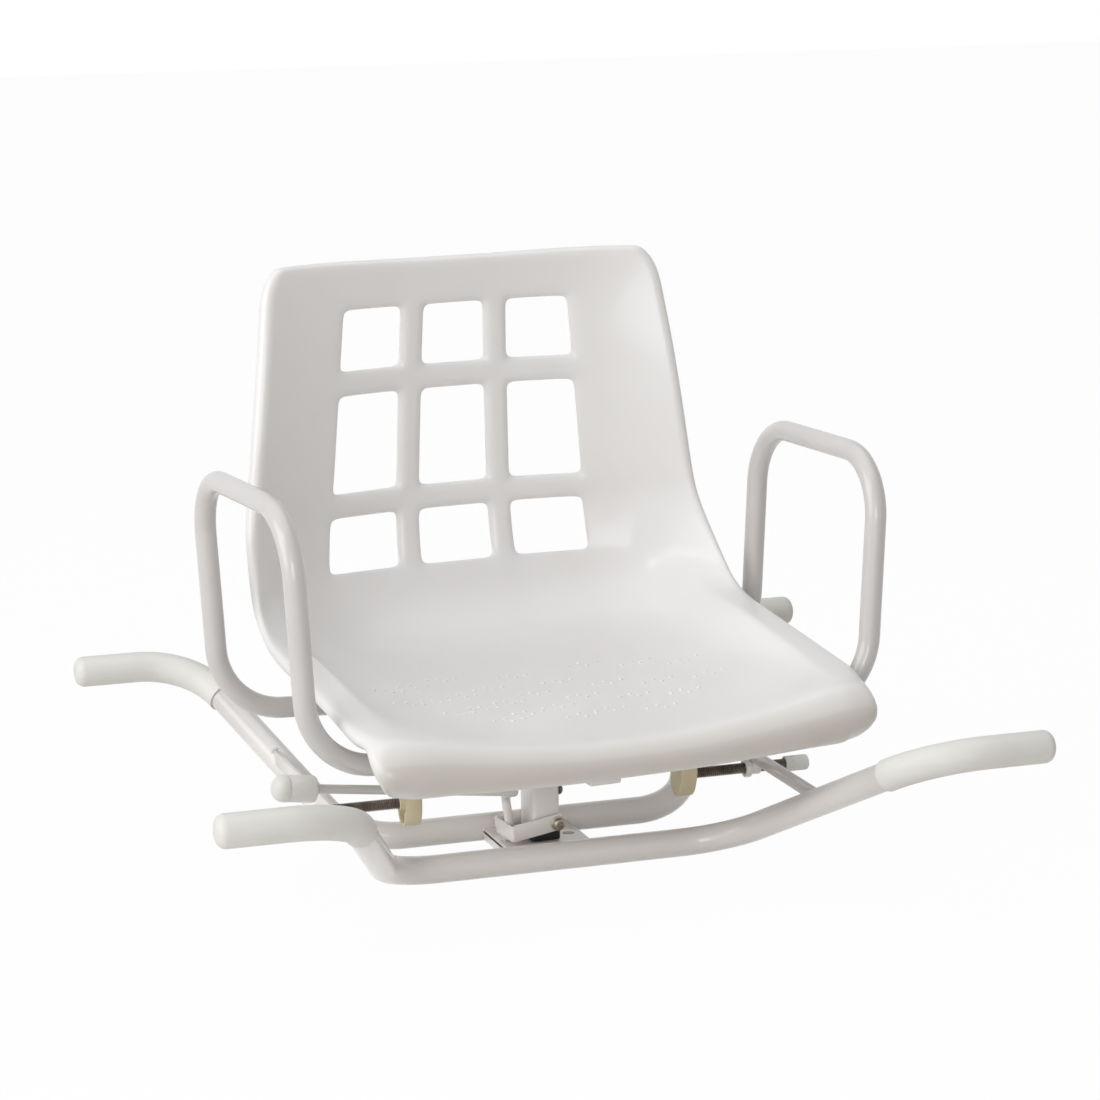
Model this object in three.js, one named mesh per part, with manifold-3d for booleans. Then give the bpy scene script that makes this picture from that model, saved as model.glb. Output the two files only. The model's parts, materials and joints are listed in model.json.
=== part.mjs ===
// Swivel bath seat: a blow-moulded bucket seat that turns on a tubular frame laid across a bath.
// Millimetres, +Z up. X runs across the bath, the sitter faces -Y, and the frame rests on z = 0.

import * as THREE from "three";
import { mergeVertices } from "three/addons/utils/BufferGeometryUtils.js";
import Module from "manifold-3d";

const wasm = await Module();
wasm.setup();

// Driving dimensions
const overallWidth = 726;
const gripSpacing = 580;
const gripHeight = 122;
const frameTubeDiameter = 25;
const armTubeDiameter = 19;
const seatWidth = 474;
const seatDepth = 400;
const seatHeight = 408;
const panHeight = 96;
const seatFrontY = -209;
const restSwivelDegrees = 5.84;

// Shared clearances and counts
const weldGap = 0.3;
const fitGap = 0.3;
const cutOverrun = 20;
const roundSides = 16;
const tubeSides = 14;
const boreSides = 8;
const bendSteps = 5;
const bendStepDegrees = 16;
const hexSides = 6;
const pointAxes = 3;
const quarterTurn = Math.PI / 2;

// Frame tubes: two mirrored tubes, each dipping into the bath between its grips
const frameTubeRadius = frameTubeDiameter / 2;
const frameWall = 1.5;
const gripReach = 111;
const gripBendHalfWidth = overallWidth / 2 - gripReach;
const floorBendHalfWidth = 158.7;
const floorTubeSpacing = 114;
const gripBendRadius = 75;
const floorBendRadius = 65;

// Hand grips: sleeves pushed over the tube ends and round the first bend
const gripWall = 1.45;
const gripEndThickness = 4;
const gripEndRound = 4;
const gripPastBend = 57.5;

// Side bars that join the two tubes, and the nuts that carry the clamp screws
const sideBarLegShare = 0.49625;
const sideBarDrop = 2.0425;
const sideBarX = floorBendHalfWidth + sideBarLegShare * (gripBendHalfWidth - floorBendHalfWidth);
const sideBarZ = sideBarLegShare * gripHeight - sideBarDrop;
const sideBarThickness = 4;
const sideBarHeight = 13;
const sideBarReach = 190;
const screwDrop = 12;
const screwZ = sideBarZ - screwDrop;
const screwDiameter = 10;
const nutFlangeDiameter = 17.5;
const nutFlangeLength = 6;
const nutSleeveDiameter = 13;
const nutSleeveLength = 9;
const nutInset = 8;

// Clamp screws: cream hand knob inside, ribbed rubber cap against the bath wall outside
const knobHeight = 42;
const knobWidth = 28;
const knobDepth = 15.5;
const knobWall = 2.2;
const knobFloor = 3;
const knobHubDiameter = 16;
const knobCollarLength = 3;
const rightKnobSetback = 74.5;
const leftKnobSetback = 91.5;
const rightKnobInner = sideBarX - rightKnobSetback;
const leftKnobInner = sideBarX - leftKnobSetback;
const rightKnobTurnDegrees = 20;
const knobToCap = 106.5;
const capLength = 23;
const capDiameter = 14.5;
const capBoreDepth = 14;
const capRound = 2.5;
const capRibPitch = 2.4;
const capRibWidth = 1.2;
const capRibDepth = 0.6;
const capRibCount = 3;

// Swivel base plate: a shallow channel welded between the tubes
const basePlateHalfWidth = 40;
const basePlateTop = 2;
const basePlateThickness = 4;
const basePlateFlange = 7;
const basePlateCorner = 3;
const lockRadius = 28;
const lockHoleDiameter = 11;
const lockHoleCount = 4;

// Pivot pin standing on the base plate, with its groove for the retaining bolt
const pivotDiameter = 16;
const pivotHeight = 96;
const pivotStubDiameter = 12;
const pivotStubLength = 13.2;
const pivotGrooveZ = 47;
const pivotGrooveHeight = 8;
const pivotGrooveDiameter = 12.4;
const pivotNutAcross = 19;
const pivotNutHeight = 6;
const pivotWasherDiameter = 24;
const pivotWasherThickness = 2;

// Square post that turns on the pin, with its nylon glide and upper bush
const postWidth = 26;
const postDepth = 30;
const postWall = 2;
const glideHeight = 8.7;
const glideSpigotHeight = 14;
const upperBushHeight = 16;
const retainingBoltDiameter = 6;
const retainingHeadDiameter = 10;
const retainingHeadHeight = 4;

// Seat carrier plate and the four seat bolts
const carrierHalfWidth = 125;
const carrierOverhang = 16.5;
const carrierThickness = 3;
const carrierCorner = 18;
const seatBoltInset = 15;
const seatBoltX = carrierHalfWidth - seatBoltInset;
const seatBoltDiameter = 6;
const seatBoltHeadDiameter = 13;
const seatBoltHeadHeight = 4;
const seatBoltDepthInBoss = 6;
const seatBossDiameter = 22;

// Armrests: one bent tube a side, both ends running in under the seat
const armTubeRadius = armTubeDiameter / 2;
const armWall = 1.5;
const armSeatGap = 27.3;
const armSpread = seatWidth + 2 * armSeatGap;
const armLeanDegrees = 3.15;
const armFrontInset = 83.5;
const armRearInset = 92.2;
const armFrontY = seatFrontY + armFrontInset;
const armRearY = seatFrontY + seatDepth - armRearInset;
const armTopZ = 343.3;
const armCornerZ = 127.8;
const armRunZ = 121.5;
const armRunLength = 100;
const armInnerX = 60;
const armTopRadius = 55.4;
const armFootRadius = 63.7;

// Lock lever: cranked rod, end grip and the strap that hinges on the post
const leverRodDiameter = 8;
const lockPinClearance = 0.4;
const leverRiseZ = 46;
const leverRiseRadius = 13;
const leverCrank = [-62, -88, 73.2];
const leverEnd = [-286, -92, 105.4];
const leverCrankRadius = 22;
const leverGripDiameter = 23;
const leverGripLength = 38;
const leverGripRound = 7;
const leverGripBore = 26;
const strapPivotX = 8.6;
const strapPivotZ = 18.5;
const strapTiltDegrees = 7.9;
const strapAbovePivot = 8.3;
const strapBelowPivot = 6.5;
const strapThickness = 2.5;
const strapHalfWidth = 20;
const strapPastPivot = 6.5;
const strapCorner = 3;
const strapScrewDiameter = 6;
const strapScrewHeadDiameter = 12;
const strapScrewHeadHeight = 4.5;

// Seat shell: walls, rims and rounded corners in plan
const shellWall = 3;
const shellFieldThickness = 13;
const shellEdgeZone = 38;
const seatCornerRadius = 24;
const backCornerRadius = 18;
const flankShare = 0.5;
const seatBottomZ = 104;
const drainDiameter = 8;
const drainSpacing = 120;
const drainY = -60;

// Windows in the backrest: three rows of three, widening downwards
const windowTopDrop = 46;
const windowFootRise = 120;
const windowTopZ = seatBottomZ + seatHeight - windowTopDrop;
const windowFootZ = seatBottomZ + windowFootRise;
const windowRowShares = [11, 18, 10];
const windowRib = 23.5;
const windowTopMargin = 126;
const windowFootMargin = 106;
const windowTopHalfWidth = seatWidth / 2 - windowTopMargin;
const windowFootHalfWidth = seatWidth / 2 - windowFootMargin;
const windowCorner = 6;
const windowCutInset = 96;
const windowCutFront = seatFrontY + seatDepth - windowCutInset;
const windowCutLength = 160;

// Side view of the seat from the front edge up to the top of the back: a share of its depth, and a height that
// runs from 0 to 1 over the pan and on from 1 to 2 over the back
const middleShares = [
  [0.025, 0.2805], [0.093, 0.3655], [0.222, 0.442], [0.52, 0.4165], [0.672, 0.4165], [0.785, 0.4888],
  [0.872, 0.7438], [0.938, 1.0558], [0.98, 1.1827], [0.975, 1.3331], [0.958, 1.5423], [0.962, 1.7385],
  [0.952, 1.9647],
];
const rimShares = [
  [0.03, 0.3527], [0.093, 0.5015], [0.222, 0.646], [0.523, 0.833], [0.598, 0.8968], [0.675, 0.9988],
  [0.74, 1.0768], [0.787, 1.1605], [0.817, 1.2546], [0.83, 1.4325], [0.845, 1.6731], [0.866, 1.8522],
  [0.886, 1.9581],
];
// Half width of the rim at the same stations, as shares of the seat's full width
const halfWidthShares = [
  0.497, 0.504, 0.507, 0.506, 0.502, 0.496, 0.488, 0.479, 0.468, 0.454, 0.436, 0.417, 0.403,
];
// Rim thickness at the same stations, and how sharply the surface turns up towards the rim there
const rimThicknesses = [27, 22, 16, 19, 22, 23, 23, 21, 19, 18, 18, 18, 18];
const dishPowers = [4, 4, 4, 3.6, 3.2, 2.8, 2.7, 2.7, 2.7, 2.7, 2.6, 2.5, 2.4];
const stationCounts = [3, 2, 2, 1, 1, 2, 2, 2, 1, 1, 1, 2];
const crossDivisions = 14;
const innerCrossDivisions = 10;
const panEndShare = 0.7;
const searchSteps = 24;
const rimRings = 4;
const innerRimRings = 2;

// Materials
function paint(color, roughness, metalness) {
  return new THREE.MeshStandardMaterial({ color, roughness, metalness });
}
const powderCoat = () => paint(0xe9e5e4, 0.42, 0.1);
const seatPlastic = () => paint(0xefedec, 0.3, 0);
const gripPlastic = () => paint(0xe7e8e1, 0.55, 0);
const creamPlastic = () => paint(0xe3dcc0, 0.45, 0);
const capRubber = () => paint(0xe9e9e6, 0.6, 0);
const blackNylon = () => paint(0x1b1b1c, 0.5, 0);
const darkSteel = () => paint(0x6b645d, 0.4, 0.9);
const zincSteel = () => paint(0xb4b0a6, 0.35, 0.9);

// Solid helpers
function toSolid(geometry) {
  const bare = geometry.clone();
  bare.deleteAttribute("normal");
  bare.deleteAttribute("uv");
  const merged = mergeVertices(bare);
  const mesh = new wasm.Mesh({
    numProp: pointAxes,
    vertProperties: new Float32Array(merged.attributes.position.array),
    triVerts: new Uint32Array(merged.index.array),
  });
  return new wasm.Manifold(mesh);
}

function toGeometry(solid) {
  const mesh = solid.getMesh();
  const geometry = new THREE.BufferGeometry();
  const positions = new Float32Array(mesh.vertProperties);
  geometry.setAttribute("position", new THREE.BufferAttribute(positions, pointAxes));
  geometry.setIndex(new THREE.BufferAttribute(new Uint32Array(mesh.triVerts), 1));
  geometry.computeVertexNormals();
  return geometry;
}

function cut(base, ...tools) {
  return tools.reduce((solid, tool) => solid.subtract(tool), base);
}

function join(...solids) {
  return solids.reduce((all, solid) => all.add(solid));
}

function named(name, shape, material) {
  const geometry = shape.isBufferGeometry ? shape : toGeometry(shape);
  const mesh = new THREE.Mesh(geometry, material);
  mesh.name = name;
  return mesh;
}

// A round bar along Z from z0 to z1
function barZ(radius, z0, z1, sides = roundSides) {
  const geometry = new THREE.CylinderGeometry(radius, radius, z1 - z0, sides);
  geometry.rotateX(Math.PI / 2);
  geometry.translate(0, 0, (z0 + z1) / 2);
  return toSolid(geometry);
}

function barX(radius, x0, x1, sides = roundSides) {
  const geometry = new THREE.CylinderGeometry(radius, radius, x1 - x0, sides);
  geometry.rotateZ(Math.PI / 2);
  geometry.translate((x0 + x1) / 2, 0, 0);
  return toSolid(geometry);
}

function barY(radius, y0, y1, sides = roundSides) {
  const geometry = new THREE.CylinderGeometry(radius, radius, y1 - y0, sides);
  geometry.translate(0, (y0 + y1) / 2, 0);
  return toSolid(geometry);
}

function block(x0, x1, y0, y1, z0, z1) {
  const geometry = new THREE.BoxGeometry(x1 - x0, y1 - y0, z1 - z0);
  geometry.translate((x0 + x1) / 2, (y0 + y1) / 2, (z0 + z1) / 2);
  return toSolid(geometry);
}

function circlePoints(radius, sides) {
  const points = [];
  for (let i = 0; i < sides; i += 1) {
    const angle = (2 * Math.PI * i) / sides;
    points.push(new THREE.Vector2(radius * Math.cos(angle), radius * Math.sin(angle)));
  }
  return points;
}

// A turned piece: profile points are [radius, height], starting and ending on the axis
function turned(profile, sides = roundSides) {
  const points = profile.map(([radius, height]) => new THREE.Vector2(radius, height));
  const geometry = new THREE.LatheGeometry(points, sides);
  geometry.rotateX(Math.PI / 2);
  return geometry;
}

// Straight runs joined by arcs: each straight is one step of the curve and each bend several,
// so an extrusion along it spends its steps on the bends.
class BentRoute extends THREE.Curve {
  constructor(corners, radii) {
    super();
    const points = corners.map((corner) => new THREE.Vector3(...corner));
    this.pieces = [];
    let start = points[0];
    for (let i = 1; i < points.length - 1; i += 1) {
      const corner = points[i];
      const back = points[i - 1].clone().sub(corner).normalize();
      const ahead = points[i + 1].clone().sub(corner).normalize();
      const angle = back.angleTo(ahead);
      const reach = radii[i - 1] / Math.tan(angle / 2);
      const entry = corner.clone().addScaledVector(back, reach);
      const exit = corner.clone().addScaledVector(ahead, reach);
      const inward = back.clone().add(ahead).normalize();
      const centre = corner.clone().addScaledVector(inward, radii[i - 1] / Math.sin(angle / 2));
      this.pieces.push({ start, end: entry });
      const turn = Math.PI - angle;
      const steps = Math.ceil(THREE.MathUtils.radToDeg(turn) / bendStepDegrees);
      const arm = entry.clone().sub(centre);
      const side = back.clone().negate().multiplyScalar(radii[i - 1]);
      for (let k = 0; k < steps; k += 1) {
        this.pieces.push({ centre, arm, side, from: (turn * k) / steps, to: (turn * (k + 1)) / steps });
      }
      start = exit;
    }
    this.pieces.push({ start, end: points[points.length - 1] });
  }

  getPoint(t, target = new THREE.Vector3()) {
    const place = Math.min(Math.max(t, 0), 1) * this.pieces.length;
    const index = Math.min(Math.floor(place), this.pieces.length - 1);
    const share = place - index;
    const piece = this.pieces[index];
    if (piece.centre) {
      const angle = piece.from + (piece.to - piece.from) * share;
      return target
        .copy(piece.centre)
        .addScaledVector(piece.arm, Math.cos(angle))
        .addScaledVector(piece.side, Math.sin(angle));
    }
    return target.copy(piece.start).lerp(piece.end, share);
  }

  getUtoTmapping(u) {
    return u;
  }
}

function sweep(route, radius, sides, boreRadius = 0, holeSides = boreSides) {
  const shape = new THREE.Shape(circlePoints(radius, sides));
  if (boreRadius > 0) {
    shape.holes.push(new THREE.Path(circlePoints(boreRadius, holeSides)));
  }
  const steps = route.pieces.length;
  return new THREE.ExtrudeGeometry(shape, { steps, extrudePath: route, bevelEnabled: false });
}

// Frame tubes and grips
const halfWidth = overallWidth / 2;
const gripY = gripSpacing / 2;
const floorTubeY = floorTubeSpacing / 2;
const tubeEndX = halfWidth - gripEndThickness - weldGap;

function frameCorners(side, endX) {
  const half = [
    [-endX, side * gripY, gripHeight],
    [-gripBendHalfWidth, side * gripY, gripHeight],
    [-floorBendHalfWidth, side * floorTubeY, 0],
  ];
  const mirrored = half.map(([x, y, z]) => [-x, y, z]).reverse();
  return [...half, ...mirrored];
}

const frameRadii = [gripBendRadius, floorBendRadius, floorBendRadius, gripBendRadius];

function frameRoute(side) {
  return new BentRoute(frameCorners(side, tubeEndX), frameRadii);
}

function frameTube(side) {
  return sweep(frameRoute(side), frameTubeRadius, tubeSides, frameTubeRadius - frameWall);
}

function frameTubeEnvelope(side) {
  return toSolid(sweep(frameRoute(side), frameTubeRadius + weldGap, tubeSides));
}

function handGrip(across, side) {
  const corners = frameCorners(side, halfWidth - gripEndThickness);
  const [tip, bend, foot] = corners.map((corner) => new THREE.Vector3(...corner));
  const end = bend.clone().addScaledVector(foot.sub(bend).normalize(), gripPastBend);
  const route = new BentRoute([tip.toArray(), bend.toArray(), end.toArray()], [gripBendRadius]);
  const outer = frameTubeRadius + fitGap + gripWall;
  const sleeve = toSolid(sweep(route, outer, tubeSides, frameTubeRadius + fitGap, tubeSides));
  const dome = [[0, 0], [outer, 0]];
  for (let i = 1; i <= bendSteps; i += 1) {
    const angle = ((Math.PI / 2) * i) / bendSteps;
    const radius = outer - gripEndRound + gripEndRound * Math.cos(angle);
    dome.push([radius, gripEndThickness - gripEndRound + gripEndRound * Math.sin(angle)]);
  }
  dome.push([0, gripEndThickness]);
  const cap = turned(dome, tubeSides);
  cap.rotateY(-Math.PI / 2);
  cap.translate(-halfWidth + gripEndThickness, side * gripY, gripHeight);
  const whole = join(sleeve, toSolid(cap));
  return across < 0 ? whole : whole.mirror([1, 0, 0]);
}

// Side bars, their nuts and the clamp screws
function sideBar(across) {
  const x0 = across * sideBarX - sideBarThickness / 2;
  const z0 = sideBarZ - sideBarHeight / 2;
  const strip = block(x0, x0 + sideBarThickness, -sideBarReach, sideBarReach, z0, z0 + sideBarHeight);
  const notchRadius = nutSleeveDiameter / 2 + weldGap;
  const notch = barX(notchRadius, -cutOverrun, cutOverrun).translate([across * sideBarX, 0, screwZ]);
  const coped = cut(strip, frameTubeEnvelope(-1), frameTubeEnvelope(1), notch);
  const middle = coped.decompose().reduce((best, piece) => (piece.volume() > best.volume() ? piece : best));
  return middle;
}

function screwNut(across) {
  const bore = screwDiameter / 2 + fitGap;
  const start = sideBarX - nutInset;
  const body = join(
    barX(nutFlangeDiameter / 2, start, start + nutFlangeLength),
    barX(nutSleeveDiameter / 2, start, start + nutFlangeLength + nutSleeveLength),
  );
  const whole = cut(body, barX(bore, start - cutOverrun, start + cutOverrun));
  const placed = whole.translate([0, 0, screwZ]);
  return across < 0 ? placed.mirror([1, 0, 0]) : placed;
}

function knobOutline(width, height) {
  const shape = new THREE.Shape();
  shape.absellipse(0, 0, width / 2, height / 2, 0, 2 * Math.PI, false, 0);
  return shape;
}

function ovalSlab(width, height, x0, x1) {
  const geometry = new THREE.ExtrudeGeometry(knobOutline(width, height), {
    depth: x1 - x0,
    bevelEnabled: false,
    curveSegments: boreSides,
  });
  geometry.rotateX(Math.PI / 2);
  geometry.rotateZ(Math.PI / 2);
  geometry.translate(x0, 0, 0);
  return toSolid(geometry);
}

// The knob is a cup, open outwards, with a hub that grips the screw
function handKnob(across, inner, turnDegrees) {
  const outer = inner + knobDepth;
  const cup = cut(
    ovalSlab(knobWidth, knobHeight, inner, outer),
    ovalSlab(knobWidth - 2 * knobWall, knobHeight - 2 * knobWall, inner + knobFloor, outer + cutOverrun),
  );
  const hub = barX(knobHubDiameter / 2, inner + knobFloor / 2, outer + knobCollarLength);
  const bore = barX(screwDiameter / 2 + fitGap, inner + knobFloor, outer + cutOverrun);
  const placed = cut(join(cup, hub), bore).rotate([turnDegrees, 0, 0]).translate([0, 0, screwZ]);
  return across < 0 ? placed.mirror([1, 0, 0]) : placed;
}

function clampScrew(across, inner) {
  const start = inner + knobFloor + fitGap;
  const end = inner + knobToCap + capBoreDepth - fitGap;
  const placed = barX(screwDiameter / 2, start, end).translate([0, 0, screwZ]);
  return across < 0 ? placed.mirror([1, 0, 0]) : placed;
}

function wallCap(across, inner) {
  const start = inner + knobToCap;
  const radius = capDiameter / 2;
  const bore = screwDiameter / 2 + fitGap;
  const profile = [[0, capBoreDepth], [bore, capBoreDepth], [bore, 0], [radius, 0]];
  for (let i = 0; i < capRibCount; i += 1) {
    const ribStart = capRibWidth + i * capRibPitch;
    profile.push([radius, ribStart]);
    profile.push([radius - capRibDepth, ribStart]);
    profile.push([radius - capRibDepth, ribStart + capRibPitch - capRibWidth]);
    profile.push([radius, ribStart + capRibPitch - capRibWidth]);
  }
  profile.push([radius, capLength - capRound], [radius - capRound, capLength], [0, capLength]);
  const geometry = turned(profile);
  geometry.rotateY(Math.PI / 2);
  geometry.translate(start, 0, screwZ);
  const placed = toSolid(geometry);
  return across < 0 ? placed.mirror([1, 0, 0]) : placed;
}

// Swivel base: plate, pivot pin and the nut and washer under the plate
const basePlateHalfLength = floorTubeY - frameTubeRadius - weldGap;
const basePlateUnder = basePlateTop - basePlateThickness;

function basePlate() {
  const foot = basePlateUnder - basePlateFlange;
  const inner = basePlateHalfWidth - basePlateThickness;
  const outline = new THREE.Shape();
  outline.moveTo(-basePlateHalfWidth, foot);
  outline.lineTo(-inner, foot);
  outline.lineTo(-inner, basePlateUnder);
  outline.lineTo(inner, basePlateUnder);
  outline.lineTo(inner, foot);
  outline.lineTo(basePlateHalfWidth, foot);
  const cornerX = basePlateHalfWidth - basePlateCorner;
  const cornerZ = basePlateTop - basePlateCorner;
  outline.absarc(cornerX, cornerZ, basePlateCorner, 0, quarterTurn);
  outline.absarc(-cornerX, cornerZ, basePlateCorner, quarterTurn, 2 * quarterTurn);
  const geometry = new THREE.ExtrudeGeometry(outline, {
    depth: 2 * basePlateHalfLength,
    bevelEnabled: false,
    curveSegments: bendSteps,
  });
  geometry.rotateX(Math.PI / 2);
  geometry.translate(0, basePlateHalfLength, 0);
  const tools = [barZ(pivotStubDiameter / 2 + fitGap, foot - cutOverrun, basePlateTop + cutOverrun)];
  const lockHole = barZ(lockHoleDiameter / 2, foot - cutOverrun, basePlateTop + cutOverrun);
  for (let i = 0; i < lockHoleCount; i += 1) {
    const angle = (2 * Math.PI * i) / lockHoleCount + THREE.MathUtils.degToRad(restSwivelDegrees);
    tools.push(lockHole.translate([lockRadius * Math.cos(angle), lockRadius * Math.sin(angle), 0]));
  }
  return cut(toSolid(geometry), ...tools);
}

function pivotPin() {
  const radius = pivotDiameter / 2;
  const seat = basePlateTop + weldGap;
  const grooveLow = pivotGrooveZ - pivotGrooveHeight / 2;
  const profile = [
    [0, seat - pivotStubLength], [pivotStubDiameter / 2, seat - pivotStubLength], [pivotStubDiameter / 2, seat],
    [radius, seat], [radius, grooveLow], [pivotGrooveDiameter / 2, grooveLow],
    [pivotGrooveDiameter / 2, grooveLow + pivotGrooveHeight], [radius, grooveLow + pivotGrooveHeight],
    [radius, pivotHeight], [0, pivotHeight],
  ];
  return turned(profile);
}

const washerTop = basePlateUnder - weldGap;

function pivotWasher() {
  const bottom = washerTop - pivotWasherThickness;
  return cut(
    barZ(pivotWasherDiameter / 2, bottom, washerTop),
    barZ(pivotStubDiameter / 2 + fitGap, bottom - cutOverrun, washerTop + cutOverrun),
  );
}

function hexagon(across, z0, z1) {
  return barZ(across / 2 / Math.cos(Math.PI / hexSides), z0, z1, hexSides);
}

function pivotNut() {
  const top = washerTop - pivotWasherThickness - weldGap;
  return cut(
    hexagon(pivotNutAcross, top - pivotNutHeight, top),
    barZ(pivotStubDiameter / 2 + fitGap, top - pivotNutHeight - cutOverrun, top + cutOverrun),
  );
}

// Seat post, its bushes and the retaining bolt
const postFoot = basePlateTop + weldGap + glideHeight + weldGap;
const carrierTop = armRunZ - armTubeRadius - weldGap;
const carrierUnder = carrierTop - carrierThickness;
const postTop = carrierUnder - weldGap;
const retainingY = -(pivotGrooveDiameter + retainingBoltDiameter) / 2 - fitGap;

function boxAround(width, depth, z0, z1) {
  return block(-width / 2, width / 2, -depth / 2, depth / 2, z0, z1);
}

function crossBore(radius) {
  return barX(radius, -postWidth, postWidth).translate([0, retainingY, pivotGrooveZ]);
}

function strapBore(radius) {
  return barY(radius, -postDepth, postDepth).translate([strapPivotX, 0, strapPivotZ]);
}

function swivelPost() {
  const inner = 2 * postWall;
  const tube = cut(
    boxAround(postWidth, postDepth, postFoot, postTop),
    boxAround(postWidth - inner, postDepth - inner, postFoot - cutOverrun, postTop + cutOverrun),
  );
  return cut(tube, crossBore(retainingBoltDiameter / 2 + fitGap), strapBore(strapScrewDiameter / 2 + fitGap));
}

function glideBlock() {
  const bottom = basePlateTop + weldGap;
  const spigotGap = 2 * (postWall + fitGap);
  const spigotTop = bottom + glideHeight + glideSpigotHeight;
  const bore = barZ(pivotDiameter / 2 + fitGap, bottom - cutOverrun, spigotTop + cutOverrun);
  const body = join(
    boxAround(postWidth, postDepth, bottom, bottom + glideHeight),
    boxAround(postWidth - spigotGap, postDepth - spigotGap, bottom, spigotTop),
  );
  return cut(body, bore);
}

function upperBush() {
  const gap = 2 * (postWall + fitGap);
  const bottom = pivotHeight - upperBushHeight;
  return cut(
    boxAround(postWidth - gap, postDepth - gap, bottom, pivotHeight),
    barZ(pivotDiameter / 2 + fitGap, bottom - cutOverrun, pivotHeight + cutOverrun),
  );
}

function retainingBolt() {
  const start = -postWidth / 2 + postWall / 2;
  const headStart = postWidth / 2 + weldGap;
  const shank = barX(retainingBoltDiameter / 2, start, headStart + retainingHeadHeight / 2);
  const head = barX(retainingHeadDiameter / 2, headStart, headStart + retainingHeadHeight, boreSides);
  return join(shank, head).translate([0, retainingY, pivotGrooveZ]);
}

// Carrier plate and seat bolts
const boltPlaces = [
  { name: "front_left", x: -seatBoltX, y: armFrontY },
  { name: "front_right", x: seatBoltX, y: armFrontY },
  { name: "rear_left", x: -seatBoltX, y: armRearY },
  { name: "rear_right", x: seatBoltX, y: armRearY },
];
const bossFoot = armRunZ + armTubeRadius + weldGap;
const boltTip = bossFoot + seatBoltDepthInBoss;
const seatBoltBoreRadius = seatBoltDiameter / 2 + fitGap;

function boltBores(z0, z1) {
  return boltPlaces.map(({ x, y }) => barZ(seatBoltBoreRadius, z0, z1, boreSides).translate([x, y, 0]));
}

function carrierPlate() {
  const rear = armRearY + carrierOverhang;
  const front = armFrontY - carrierOverhang;
  const right = carrierHalfWidth - carrierCorner;
  const outline = new THREE.Shape();
  const corners = [
    [right, rear - carrierCorner], [-right, rear - carrierCorner],
    [-right, front + carrierCorner], [right, front + carrierCorner],
  ];
  corners.forEach(([x, y], k) => outline.absarc(x, y, carrierCorner, k * quarterTurn, (k + 1) * quarterTurn));
  const geometry = new THREE.ExtrudeGeometry(outline, {
    depth: carrierThickness,
    bevelEnabled: false,
    curveSegments: bendSteps,
  });
  geometry.translate(0, 0, carrierUnder);
  return cut(toSolid(geometry), ...boltBores(carrierUnder - cutOverrun, carrierTop + cutOverrun));
}

function seatBolt({ x, y }) {
  const headTop = carrierUnder - weldGap;
  const head = barZ(seatBoltHeadDiameter / 2, headTop - seatBoltHeadHeight, headTop, hexSides);
  const shank = barZ(seatBoltDiameter / 2, headTop - seatBoltHeadHeight / 2, boltTip, boreSides);
  return join(head, shank).translate([x, y, 0]);
}

// Armrests
function armrest(across) {
  const cornerX = armSpread / 2;
  const topX = cornerX + (armTopZ - armCornerZ) * Math.tan(THREE.MathUtils.degToRad(armLeanDegrees));
  const runX = cornerX - armRunLength;
  const front = [
    [armInnerX, armFrontY, armRunZ],
    [runX, armFrontY, armRunZ],
    [cornerX, armFrontY, armCornerZ],
    [topX, armFrontY, armTopZ],
  ];
  const rear = front.map(([x, , z]) => [x, armRearY, z]).reverse();
  const corners = [...front, ...rear].map(([x, y, z]) => [across * x, y, z]);
  const radii = [armFootRadius, armFootRadius, armTopRadius, armTopRadius, armFootRadius, armFootRadius];
  const route = new BentRoute(corners, radii);
  const tube = toSolid(sweep(route, armTubeRadius, tubeSides, armTubeRadius - armWall));
  return cut(tube, ...boltBores(armRunZ - cutOverrun, armRunZ + cutOverrun));
}

// Lock lever
const strapTilt = THREE.MathUtils.degToRad(strapTiltDegrees);
const lockPinTip = basePlateTop + lockPinClearance + (leverRodDiameter / 2) * Math.sin(strapTilt);

function leverRoute(start, end) {
  const riseX = -lockRadius - (leverRiseZ - start) * Math.tan(strapTilt);
  const corners = [[-lockRadius, 0, start], [riseX, 0, leverRiseZ], leverCrank, end];
  return new BentRoute(corners, [leverRiseRadius, leverCrankRadius]);
}

function pointFromLeverEnd(distance) {
  const end = new THREE.Vector3(...leverEnd);
  const back = new THREE.Vector3(...leverCrank).sub(end).normalize();
  return end.addScaledVector(back, distance);
}

function leverRod() {
  const end = pointFromLeverEnd(leverGripLength - leverGripBore + fitGap).toArray();
  return sweep(leverRoute(lockPinTip, end), leverRodDiameter / 2, boreSides + 2);
}

function leverGrip() {
  const radius = leverGripDiameter / 2;
  const bore = leverRodDiameter / 2 + fitGap;
  const profile = [[0, leverGripBore], [bore, leverGripBore], [bore, 0], [radius, 0]];
  for (let i = 0; i < bendSteps; i += 1) {
    const angle = ((Math.PI / 2) * i) / bendSteps;
    const ringRadius = radius - leverGripRound + leverGripRound * Math.cos(angle);
    profile.push([ringRadius, leverGripLength - leverGripRound + leverGripRound * Math.sin(angle)]);
  }
  profile.push([radius - leverGripRound, leverGripLength], [0, leverGripLength]);
  const geometry = turned(profile);
  const base = pointFromLeverEnd(leverGripLength);
  const axis = new THREE.Vector3(...leverEnd).sub(base).normalize();
  const turn = new THREE.Quaternion().setFromUnitVectors(new THREE.Vector3(0, 0, 1), axis);
  geometry.applyQuaternion(turn);
  geometry.translate(base.x, base.y, base.z);
  return geometry;
}

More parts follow.
